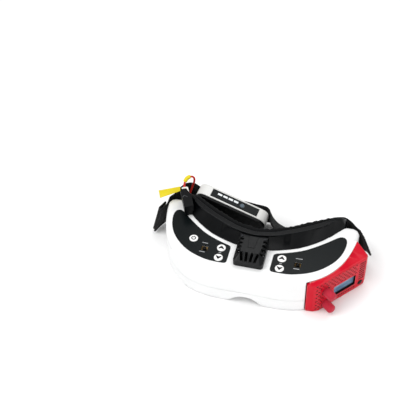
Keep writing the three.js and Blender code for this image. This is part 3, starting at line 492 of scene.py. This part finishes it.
# ---------------------------------------------------------------- plain hard parts
HARD = {
    "upper_shell": WHITE, "lower_shell": WHITE, "socket_cover": WHITE, "face_plate": SOFT_BLACK,
    "eyepiece_cover": BLACK, "main_board": BOARD, "power_jack": BLACK, "av_jack": BLACK,
    "card_socket": STEEL, "memory_card": BLACK, "fan_rotor": FAN_BLACK, "power_block": BLACK,
    "balance_plug": CONNECTOR, "case_shell": WHITE_CASE, "case_lid": BLACK, "case_label": PANEL,
    "case_button": CASE_BUTTON, "receiver_module": INNER_AND_SHADE, "receiver_screen": SCREEN,
    "receiver_button": BLACK, "buckle_left": BLACK, "buckle_right": BLACK, "cell_1": FOIL, "cell_2": FOIL,
    "antenna_socket_low": GOLD, "antenna_socket_high": GOLD, "antenna_cap_low": RUBBER_RED,
    "antenna_cap_high": RUBBER_RED, "button_enter_right": BUTTON, "fan_housing": FAN_BLACK,
}
HARD_PAIRS = {
    "control_panel": PANEL, "stick_frame": BRONZE, "stick_gimbal": BLACK, "stick_cup": BLACK,
    "stick_cap": BLACK, "fan_screw": SCREW, "eyepiece": BLACK, "lens": GLASS, "display": DISPLAY,
    "button_up": BUTTON, "button_down": BUTTON,
}
ROUND_ANGLE = 50.0  # caps and lenses keep only their sharpest edges


def dress_hard_parts():
    pairs = {f"{node}_{word}": look for word in ("right", "left") for node, look in HARD_PAIRS.items()}
    for node, look in {**HARD, **pairs}.items():
        dress(node, look, ROUND_ANGLE if "cap" in node or "lens" in node else SMOOTH_ANGLE)


def lower_nose_arch():
    """The nose arch's curve brought nearer to the table, inside the lower shell's own outline."""
    middle = -ORIGIN.x * MM
    reach = 22.5 * MM
    roof = 14.7 * MM
    share_kept = 0.75
    for vert in bpy.data.objects["lower_shell_skin"].data.vertices:
        if abs(vert.co.x - middle) < reach and vert.co.z < roof:
            vert.co.z *= share_kept


dress_hard_parts()
lower_nose_arch()

# ---------------------------------------------------------------- marks on the controls
BUTTON_TOP = 42.58
PANEL_TOP = 41.94
PRINT_THICK = 0.08
BUTTON_X = 28.9
ENTER_X = -57.5
ARROW = [(0.0, 2.35), (0.5, 1.95), (2.75, -1.05), (2.55, -1.6), (1.9, -1.7), (0.0, -0.75), (-1.9, -1.7),
         (-2.55, -1.6), (-2.75, -1.05), (-0.5, 1.95)]
# Short generic strokes where the panels carry small printing: x, y, width and turn.
PANEL_STROKES = [(-45.4, 2.6, 5.6, -2), (-45.6, -8.6, 5.6, -2), (-28.9, -6.1, 2.6, 0), (44.6, 3.4, 6.4, 2),
                 (44.0, -9.2, 5.6, 2), (28.9, -6.1, 2.6, 0)]


def button_arrows():
    for side, word in ((-1, "right"), (1, "left")):
        for y, direction, turn in ((0.0, "up", 0), (-12.2, "down", 180)):
            node = f"button_{direction}_{word}"
            place = flat(side * BUTTON_X, y, BUTTON_TOP, turn)
            plate(f"arrow_{direction}_{word}", ARROW, place, PRINT_THICK, PRINT, node)


def enter_symbol():
    """An open ring with a bar in its gap."""
    for name, outline, y in (("enter_ring", arc(1.9, 0.9, -240, 60), 5.9),
                             ("enter_bar", rounded(0.9, 2.1, 0.3), 7.3)):
        plate(name, outline, flat(ENTER_X, y, BUTTON_TOP), PRINT_THICK, PRINT, "button_enter_right")


def panel_strokes():
    for index, (x, y, width, turn) in enumerate(PANEL_STROKES):
        plate(f"panel_mark_{index}", rounded(width, 0.75, 0.35), flat(x, y, PANEL_TOP, turn), 0.06,
              PRINT_GREY, "goggles")


button_arrows()
enter_symbol()
panel_strokes()

# ---------------------------------------------------------------- receiver bay cover with its grille
OUT = Vector((0.755, -0.656, 0.0)).normalized()  # outward from the bay
ALONG = Vector((0.656, 0.755, 0.0)).normalized()  # along the cover, to the back
FACING_OUT = Matrix((ALONG, UP, OUT)).transposed().to_4x4()
COVER_EDGE = [(58.8, -23), (63.4, -22.6), (68.6, -20), (76.4, -11.1), (84.6, -1.7), (92.9, 7.9),
              (101.2, 17.4), (105.4, 22.3), (105.9, 25.4), (94.3, 38.4)]
WALL_OUT = 65.0  # the flat wall's outer face, out from the drawing's origin
WINDOW = (47.6, 74.0, 9.0, 22.4)  # along the cover from and to, then up from and to
WINDOW_CLEAR = 1.5
CAPS = ((38.0, 6.6), (38.0, 24.0))
CAP_CLEAR = 6.8
COVER_BUTTON = (80.6, 7.2)
BUTTON_CLEAR = 4.0
CUT_DEPTHS = (-3.2, 1.2)  # from inside the wall to outside it

GRILLE_START, GRILLE_END = 8.0, 56.0  # along the cover's edge
GRILLE_PITCH, GRILLE_ROW = 2.1, 2.7
GRILLE_LOW, GRILLE_ROWS = 3.9, 13
DIAMOND = [(-1.35, -0.35), (-0.25, -0.98), (1.35, 0.35), (0.25, 0.98)]
BUTTON_CORNER = (75.0, 12.0)  # no diamonds past this along the cover and below this up
REAR_SLOT = [(-3.6, -0.7), (3.4, -0.7), (3.4, 0.7), (-3.6, 0.7)]
REAR_SLOTS, REAR_SLOTS_AT, REAR_SLOTS_LOW, REAR_SLOT_PITCH = 8, 62.0, 13.0, 3.1
WINDOW_RAISE = 1.3  # half the height of the strip taken off round the window's top edge
LOW_BAR = [(-1.7, -1.7), (-0.4, -1.7), (1.5, 1.7), (0.2, 1.7)]
LOW_BARS, LOW_BARS_START, LOW_BARS_UP, LOW_BAR_PITCH = 9, 1.4, 5.6, 3.0


def bay(along, out, up):
    """A place on the bay: along the cover, out from the drawing's origin, and up."""
    p = ALONG * along + OUT * out
    return at(p.x, p.y, up)


def edge_walk(start, step):
    """Points each step along the cover's outer edge, with the edge's direction and the length walked."""
    spots = []
    travelled = 0.0
    target = start
    for (x0, y0), (x1, y1) in zip(COVER_EDGE, COVER_EDGE[1:]):
        stretch = Vector((x1 - x0, y1 - y0, 0))
        way = stretch.normalized()
        while target < travelled + stretch.length:
            spots.append((Vector((x0, y0, 0)) + way * (target - travelled), way, target))
            target += step
        travelled += stretch.length
    return spots


def prism_cutter(bm, point, way, up, corners):
    """A prism square to the cover's wall; corners are along the wall and up, in millimetres."""
    outward = way.cross(UP)
    rings = []
    for depth in CUT_DEPTHS:
        centre = point + outward * depth
        places = [at(centre.x + way.x * a, centre.y + way.y * a, up + b) for a, b in corners]
        rings.append([bm.verts.new(place) for place in places])
    inner, outer = rings
    bm.faces.new(inner[::-1])
    bm.faces.new(outer)
    for i in range(len(corners)):
        k = (i + 1) % len(corners)
        bm.faces.new((inner[i], inner[k], outer[k], outer[i]))


def clear_of_fittings(point, up):
    """Whether a hole here leaves room for the window, the bars below it, the caps and the button."""
    along = point.dot(ALONG)
    a0, a1, z0, z1 = WINDOW
    if a0 - 1 < along < a1 + 2 and up < z0:
        return False
    if a0 - WINDOW_CLEAR < along < a1 + WINDOW_CLEAR and z0 - WINDOW_CLEAR < up < z1 + WINDOW_CLEAR:
        return False
    if any(math.hypot(along - a, up - z) < CAP_CLEAR for a, z in CAPS):
        return False
    if math.hypot(along - COVER_BUTTON[0], up - COVER_BUTTON[1]) <= BUTTON_CLEAR:
        return False
    return along < BUTTON_CORNER[0] or up > BUTTON_CORNER[1]


def diamond_cutters(bm):
    """Rows of diamonds in quincunx over the cover's side."""
    for column, (point, way, travelled) in enumerate(edge_walk(GRILLE_START, GRILLE_PITCH)):
        if travelled > GRILLE_END:
            break
        for index in range(column % 2, GRILLE_ROWS, 2):
            up = GRILLE_LOW + index * GRILLE_ROW
            if clear_of_fittings(point, up):
                prism_cutter(bm, point, way, up, DIAMOND)


def rear_slot_cutters(bm):
    """A column of level slots at the cover's rear corner."""
    point, way, _ = edge_walk(REAR_SLOTS_AT, 30.0)[0]
    for index in range(REAR_SLOTS):
        prism_cutter(bm, point, way, REAR_SLOTS_LOW + index * REAR_SLOT_PITCH, REAR_SLOT)


def window_cutters(bm):
    """The window's raised top, and the slanted bars below it."""
    a0, a1, _, z1 = WINDOW
    half = (a1 - a0) / 2
    rise = WINDOW_RAISE
    middle = ALONG * ((a0 + a1) / 2) + OUT * WALL_OUT
    strip = [(-half, -rise), (half, -rise), (half, rise), (-half, rise)]
    prism_cutter(bm, middle, ALONG, z1 - rise, strip)
    for index in range(LOW_BARS):
        along = a0 + LOW_BARS_START + index * LOW_BAR_PITCH
        prism_cutter(bm, ALONG * along + OUT * WALL_OUT, ALONG, LOW_BARS_UP, LOW_BAR)


def cut_grille(cover):
    """Cuts every opening, leaving its sides in the darker red that paints shade into them."""
    bm = bmesh.new()
    diamond_cutters(bm)
    rear_slot_cutters(bm)
    window_cutters(bm)
    cutter = bpy.data.objects.new("cutters", to_mesh(bm, "cutters"))
    cutter.data.materials.append(RED_SHADE)
    bpy.context.scene.collection.objects.link(cutter)
    boolean = cover.modifiers.new("grille", "BOOLEAN")
    boolean.operation = "DIFFERENCE"
    boolean.solver = "MANIFOLD"
    boolean.material_mode = "TRANSFER"
    boolean.object = cutter
    bpy.context.view_layer.update()
    apply_modifiers(cover)
    bpy.data.objects.remove(cutter)


def paint_window_edge_shade(cover):
    """The faces between the window's two rims, which look along the wall, get the near-black as painted
    shade.
    """
    mesh = cover.data
    mesh.materials.append(INNER_AND_SHADE)
    black = len(mesh.materials) - 1
    a0, a1, z0, z1 = WINDOW
    wall_middle, half_wall, near = 64, 2.2, 0.5
    for polygon in mesh.polygons:
        place = (polygon.center / MM) + ORIGIN
        in_window = (a0 - near < place.dot(ALONG) < a1 + near) and (z0 - near < place.z < z1 + near)
        in_wall = abs(place.dot(OUT) - wall_middle) < half_wall
        if in_window and in_wall and abs(polygon.normal.dot(OUT)) < 0.3:
            polygon.material_index = black


def bay_cover():
    """The cover, its front end reaching to the shell's edge, with its grille and window."""
    shape = welded("bay_cover")
    front_end = at(59.4, 0, 0).x
    upper_edge = 38.5 * MM
    forward = 1.75 * MM
    back = 0.4 * MM
    for vert in shape.verts:
        if vert.co.x < front_end:
            vert.co.x += -forward if vert.co.z < upper_edge else back
    cover = stand_in("bay_cover_skin", to_mesh(shape, "bay_cover_skin"), RED, "bay_cover")
    cut_grille(cover)
    paint_window_edge_shade(cover)
    smooth_shaded(cover.data, 30)
    weigh(cover)


def button_bezel():
    along, up = COVER_BUTTON
    place = Matrix.Translation(bay(along, WALL_OUT + 0.08, up)) @ FACING_OUT
    plate("button_bezel", circle(2.9), place, 0.16, BLACK, "bay_cover", (circle(2.1, 24),))


bay_cover()
button_bezel()

# ---------------------------------------------------------------- foam pad
PLEAT_PITCH = 0.0052
PLEAT_HEIGHT = 0.00028
PLEAT_DEPTH = 0.009  # how far down from the rim the pleats reach
DENT_HEIGHT = 0.0006
DENTS_PER_METRE = 55.0
DENT_OFFSET = Vector((3.1, 3.1 * 0.7, 3.1 * 1.3))


def remesh_smooth(piece, voxel, rounds):
    remesh = piece.modifiers.new("remesh", "REMESH")
    remesh.mode = "VOXEL"
    remesh.voxel_size = voxel
    smooth = piece.modifiers.new("smooth", "SMOOTH")
    smooth.factor = 0.5
    smooth.iterations = rounds
    bpy.context.view_layer.update()
    apply_modifiers(piece)


def pleat(bm, top):
    """Fine pleats that run down from the rim over the top of the pad, fading as they go."""
    for vert in bm.verts:
        depth = (top - vert.co.z) / PLEAT_DEPTH
        if depth < 1.0 and vert.normal.z > -0.2:
            fade = (1.0 - depth) * 0.5 + 0.5
            around = math.atan2(vert.co.y - 0.03, vert.co.x)
            ripple = math.sin(vert.co.x * 2 * math.pi / PLEAT_PITCH + 0.7 * math.sin(around * 9))
            vert.co += vert.normal * PLEAT_HEIGHT * ripple * fade


def dent(bm):
    """A soft, repeatable unevenness along the normals."""
    for vert in bm.verts:
        vert.co += vert.normal * DENT_HEIGHT * noise.noise(vert.co * DENTS_PER_METRE + DENT_OFFSET)


def foam_pad():
    """The foam under its cloth: the CAD solid remeshed, softened and creased."""
    pad = bpy.data.objects.new("foam_cushion", nodes["foam_pad"].data.copy())
    bpy.context.scene.collection.objects.link(pad)
    remesh_smooth(pad, 0.0016, 6)
    bm = bmesh.new()
    bm.from_mesh(pad.data)
    bm.normal_update()
    pleat(bm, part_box("foam_pad")[1].z)
    dent(bm)
    bm.to_mesh(pad.data)
    bm.free()
    for polygon in pad.data.polygons:
        polygon.use_smooth = True
    pad.data.materials.clear()
    pad.data.materials.append(FOAM)
    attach(pad, body_of["foam_pad"])
    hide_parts("foam_pad")


foam_pad()

# ---------------------------------------------------------------- strap
# The strap's route: x, y, lean in degrees and height of its lower edge.
STRAP_ROUTE = [
    (-108.4, 39.5, 16, 2), (-106.6, 45, 16, 2), (-103.4, 52, 15, 2), (-99, 58.6, 9, 2), (-93, 62, 3, 2),
    (-89.6, 66, 0, 2), (-87.6, 72, 0, 2), (-84.6, 79, 2, 2), (-77, 84.4, 8, 2), (-64, 84, 15, 2),
    (-46, 81.5, 18, 2), (-28, 79.6, 18, 2), (-10, 78.2, 19, 2), (3, 78.2, 22, 2), (11, 77, 32, 2),
    (18.6, 74.4, 46, 2), (27, 72, 56, 2), (36, 70.6, 53, 2), (45, 70.6, 40, 2), (54, 71, 26, 2),
    (63, 71.8, 15, 2), (71, 72, 10, 2), (78.6, 71, 7, 2), (85.4, 66.4, 6, 2), (92, 62, 9, 3),
    (98.6, 58.6, 13, 7), (104, 52.6, 18, 12), (107.2, 46, 20, 15),
]
STRAP_HIGH = 40.0
STRAP_THICK = 2.2
STRAP_STEPS = 560
STRAP_ACROSS = 44
SELVEDGE = 1.3
RIB_PITCH = 3.3
OTHER_FACE_V = 100  # millimetres between the two faces' places in the UV map


def strap_section(share, width, run):
    """The band's half thickness and middle at a share of its width: rolled selvedges, ribs and ripples."""
    near_edge = min(share, 1 - share) * width / SELVEDGE
    roll = math.sqrt(max(0.0, 1 - (1 - min(near_edge, 1.0)) ** 2))
    rib = 0.13 * math.cos(2 * math.pi * share * width / RIB_PITCH)
    ripple = 0.10 * math.sin(run / 3.1) * math.sin(share * 9.0 + run / 17.0)
    half = (STRAP_THICK / 2 - 0.15) * (0.12 + 0.88 * roll) + rib * roll * 0.8
    return half, STRAP_THICK / 2 + ripple * roll


def strap_ring(bm, edge, way, lean, run):
    """The vertices round the band at one point of its route, and their places in the UV map."""
    up = Vector((way.y * math.sin(lean), -way.x * math.sin(lean), math.cos(lean)))
    out = Vector((-way.y * math.cos(lean), way.x * math.cos(lean), math.sin(lean)))
    width = STRAP_HIGH - edge.z
    ring = []
    marks = []
    for face, order in ((1, range(STRAP_ACROSS + 1)), (0, range(STRAP_ACROSS, -1, -1))):
        for j in order:
            share = j / STRAP_ACROSS
            half, middle = strap_section(share, width, run)
            offset = middle + (half if face else -half)
            ring.append(bm.verts.new(at(*(edge + up * (share * width) + out * offset))))
            marks.append((run * MM, (share * width + face * OTHER_FACE_V) * MM))
    return ring, marks


def strap():
    """The elastic band along the CAD strap's route."""
    line = spline([(x, y, 0) for x, y, _, _ in STRAP_ROUTE], STRAP_STEPS)
    leans = spline([(0, lean, low) for _, _, lean, low in STRAP_ROUTE], STRAP_STEPS)
    bm = bmesh.new()
    rings = []
    uv_rows = []
    run = 0.0
    for i, point in enumerate(line):
        run += (point - line[max(i - 1, 0)]).length
        edge = Vector((point.x, point.y, leans[i].z))
        ring, marks = strap_ring(bm, edge, way_at(line, i), math.radians(leans[i].y), run)
        rings.append(ring)
        uv_rows.append(marks)
    layer = bm.loops.layers.uv.new("band")
    size = len(rings[0])
    for i in range(STRAP_STEPS):
        for j in range(size):
            k = (j + 1) % size
            corners = ((i, j), (i + 1, j), (i + 1, k), (i, k))
            face = bm.faces.new([rings[row][column] for row, column in corners])
            for loop, (row, column) in zip(face.loops, corners):
                loop[layer].uv = uv_rows[row][column]
    bm.faces.new(list(reversed(rings[0])))
    bm.faces.new(rings[-1])
    stand_in("strap_band", to_mesh(bm, "strap_band"), WEBBING, "strap", 60)


strap()

# ---------------------------------------------------------------- battery lead, sleeve and flag
LEAD_ROUTE = [(-81, 59.7, 52.6), (-81.8, 61.5, 53), (-82, 64.5, 55.2), (-80.4, 67.6, 58), (-77, 69.6, 59.4),
              (-74.2, 70.8, 57.4), (-74.4, 71.6, 51), (-76.6, 72, 43), (-78.6, 72, 35), (-78.4, 71.6, 30),
              (-76, 71, 27.9), (-73.4, 70.4, 27.2)]
LEAD_STEPS = 150
LEAD_PATH = [at(*p) for p in spline(LEAD_ROUTE, LEAD_STEPS)]
WIRES = (("lead_wire_red", WIRE_RED), ("lead_wire_black", WIRE_BLACK), ("lead_wire_sense", WIRE_RED))
WIRE_RADIUS = 0.00052
WIRE_SPACING = 0.00058  # from the lead's middle to each wire's
LEAD_TWIST = 2.4  # the whole twist, in radians
SLEEVE_FROM, SLEEVE_TO = 28, 54  # steps of the lead's path


def battery_lead():
    """Three thin silicone wires twisted loosely about the lead's route."""
    sides = sides_along(LEAD_PATH)
    for index, (name, look) in enumerate(WIRES):
        strand = []
        for i, (p, (a, b)) in enumerate(zip(LEAD_PATH, sides)):
            turn = 2 * math.pi * index / 3 + LEAD_TWIST * i / len(LEAD_PATH)
            strand.append(p + (a * math.cos(turn) + b * math.sin(turn)) * WIRE_SPACING)
        mesh = to_mesh(tube(strand, [WIRE_RADIUS] * len(strand), 10), name)
        finish_mesh(name, mesh, look, body_of["battery_lead"],
                    ("battery_lead",) if index == 0 else (), 70)


def lead_sleeve():
    """The shrink sleeve over the bend, with rounded, slightly gathered ends."""
    path = LEAD_PATH[SLEEVE_FROM:SLEEVE_TO]
    radii = []
    for i in range(len(path)):
        share = i / (len(path) - 1)
        end = min(share, 1 - share) / 0.12
        mouth = 0.0013 + 0.0007 * min(1.0, end) ** 0.5
        radii.append(mouth + 0.00009 * math.sin(share * 40))
    stand_in("lead_sleeve", to_mesh(tube(path, radii, 20), "lead_sleeve"), YELLOW, "lead_wrap", 60)


FLAG_LENGTH = 21.6
FLAG_TURN = 0.42
FLAG_HALF_THICK = 0.14
FLAG_COLUMNS, FLAG_ROWS = 26, 10
FLAG_TIP = (-25.0, -10.6, 10.8)  # x, lower edge's y and width of the free end, from the flag's own origin
FLAG_ROOT = (-4.6, 6.2)  # lower edge's y and width of the end at the sleeve
FLAG_ORIGIN = (-82.6, 61.4, 51.2)


def flag_point(s, t, side):
    """A place on the flag's upper (1) or lower (-1) face: s along it from the free end, t across it."""
    tip_x, tip_y, tip_width = FLAG_TIP
    root_y, root_width = FLAG_ROOT
    x = tip_x + FLAG_LENGTH * s
    y = (1 - s) * (tip_y + tip_width * t) + s * (root_y + root_width * t)
    curl = 0.9 * (1 - s) ** 2 * math.sin(t * math.pi * 0.9) - 0.5 * (1 - s) * t
    p = Matrix.Rotation(FLAG_TURN, 4, "Z") @ Vector((x, y, curl + side * FLAG_HALF_THICK))
    return at(FLAG_ORIGIN[0] + p.x, FLAG_ORIGIN[1] + p.y, FLAG_ORIGIN[2] + p.z)


def lead_flag():
    """The paper flag, tapered towards the sleeve and curling a little along its length."""
    bm = bmesh.new()
    columns, rows = FLAG_COLUMNS, FLAG_ROWS
    upper, lower = [[[bm.verts.new(flag_point(i / columns, j / rows, side)) for j in range(rows + 1)]
                     for i in range(columns + 1)] for side in (1, -1)]
    for grid, upside_down in ((upper, False), (lower, True)):
        for i in range(columns):
            for j in range(rows):
                quad = (grid[i][j], grid[i + 1][j], grid[i + 1][j + 1], grid[i][j + 1])
                bm.faces.new(quad[::-1] if upside_down else quad)
    rim = [(i, 0) for i in range(columns + 1)] + [(columns, j) for j in range(1, rows + 1)]
    rim += [(i, rows) for i in range(columns - 1, -1, -1)] + [(0, j) for j in range(rows - 1, 0, -1)]
    for (i, j), (k, m) in zip(rim, rim[1:] + rim[:1]):
        bm.faces.new((upper[k][m], upper[i][j], lower[i][j], lower[k][m]))
    stand_in("lead_flag", to_mesh(bm, "lead_flag"), YELLOW, "lead_tag", 50)


battery_lead()
lead_sleeve()
lead_flag()

# ---------------------------------------------------------------- battery case and power block details
CASE = (Matrix.Translation(at(-29.6, 58.4, 44.8)) @ Matrix.Rotation(math.radians(-6.6), 4, "Z")
        @ Matrix.Rotation(math.radians(15), 4, "Y") @ Matrix.Rotation(math.radians(13.6), 4, "X"))
QUARTER_TURN = Matrix.Rotation(math.radians(90), 4, "Y")
CHEVRON = [(-3.0, -1.1), (-0.6, 1.5), (0.0, 1.5), (3.0, -1.1), (2.2, -1.1), (0.0, 0.75), (-2.2, -1.1)]


def on_case(x, y, z):
    """A place on the battery case, in millimetres in its own tilted directions."""
    return CASE @ Matrix.Translation(Vector((x, y, z)) * MM)


def case_lights():
    for index in range(4):
        place = on_case(-16.4 + 5.75 * index, 1.1, -0.06)
        plate(f"case_light_{index}", rounded(4.6, 2.0, 0.25), place, 0.08, LIGHT_BAR, "goggles")


def case_end_slots():
    # Flat near-black plates stand for the case's end slots: painted shade where their hollows would be.
    for name, x in (("case_end_slot_right", -38.44), ("case_end_slot_left", 36.44)):
        place = on_case(x, 2.6, -8.5) @ QUARTER_TURN
        plate(name, rounded(5.0, 1.7, 0.7), place, 0.12, INNER_AND_SHADE, "goggles")


def block_chevron():
    plate("block_chevron", CHEVRON, flat(-76.6, 44.6, 56.24, 24), 0.06, PRINT_FAINT, "goggles")


def bay_back_wall():
    """The bay's back wall, behind the receiver, keeps light from showing through from the eyepieces."""
    place = Matrix.Translation(bay(55.0, 49.4, 20.0)) @ FACING_OUT
    plate("bay_back_wall", rounded(40.0, 33.0, 1.0), place, 0.5, INNER_AND_SHADE, "goggles")


def fan_baffle():
    """A black baffle under the fan's slots, where the housing's own floor is."""
    plate("fan_baffle", rounded(22.0, 24.0, 4.0), flat(0.0, -1.0, 43.2), 0.4, INNER_AND_SHADE, "goggles")


case_lights()
case_end_slots()
block_chevron()
bay_back_wall()
fan_baffle()

# ---------------------------------------------------------------- floor, light and camera
FLOOR_REACH = 3
SOFTBOX_TARGET = Vector((0, 0, 0.02))


def studio_world():
    world = bpy.data.worlds.new("studio")
    bpy.context.scene.world = world
    world.use_nodes = True
    background = world.node_tree.nodes["Background"]
    background.inputs["Color"].default_value = (1, 1, 1, 1)
    background.inputs["Strength"].default_value = 0.5
    bpy.context.scene.view_settings.view_transform = "Standard"


def studio_floor():
    look = Look("studio_floor").set(color=(0.93, 0.93, 0.93), rough=0.6, spec=0.1)
    mesh = bpy.data.meshes.new("studio_floor")
    signs = ((-1, -1), (1, -1), (1, 1), (-1, 1))
    corners = [(FLOOR_REACH * x, FLOOR_REACH * y, cad_low.z) for x, y in signs]
    mesh.from_pydata(corners, [], [(0, 1, 2, 3)])
    mesh.materials.append(look.mat)
    floor = bpy.data.objects.new("studio_floor", mesh)
    bpy.context.scene.collection.objects.link(floor)


def softbox(name, place, size, power):
    light = bpy.data.lights.new(name, "AREA")
    light.shape = "RECTANGLE"
    light.size, light.size_y = size
    light.energy = power
    lamp = bpy.data.objects.new(name, light)
    lamp.location = place
    lamp.rotation_euler = (SOFTBOX_TARGET - Vector(place)).to_track_quat("-Z", "Y").to_euler()
    bpy.context.scene.collection.objects.link(lamp)


def studio_lights():
    softbox("key_light", (-0.55, -0.35, 0.95), (0.7, 0.7), 7.2)
    softbox("top_light", (0.15, 0.45, 1.0), (0.9, 0.5), 4.2)
    softbox("side_light", (0.9, -0.3, 0.45), (0.5, 0.5), 2.8)
    softbox("front_light", (0.1, -1.0, 0.35), (0.8, 0.4), 2.4)


def studio_camera():
    """A camera placed by its own right, upward and forward directions."""
    data = bpy.data.cameras.new("camera")
    data.lens = 81
    data.sensor_width = 36
    camera = bpy.data.objects.new("camera", data)
    right = Vector((0.9666, 0.2548, -0.02695))
    upward = Vector((-0.1632, 0.6936, 0.7015))
    forward = Vector((-0.1974, 0.6737, -0.7121))
    camera.rotation_mode = "QUATERNION"
    camera.rotation_quaternion = Matrix((right, upward, -forward)).transposed().to_quaternion()
    camera.location = (0.11311, -0.57436, 0.67745)
    bpy.context.scene.collection.objects.link(camera)
    bpy.context.scene.camera = camera


studio_world()
studio_floor()
studio_lights()
studio_camera()
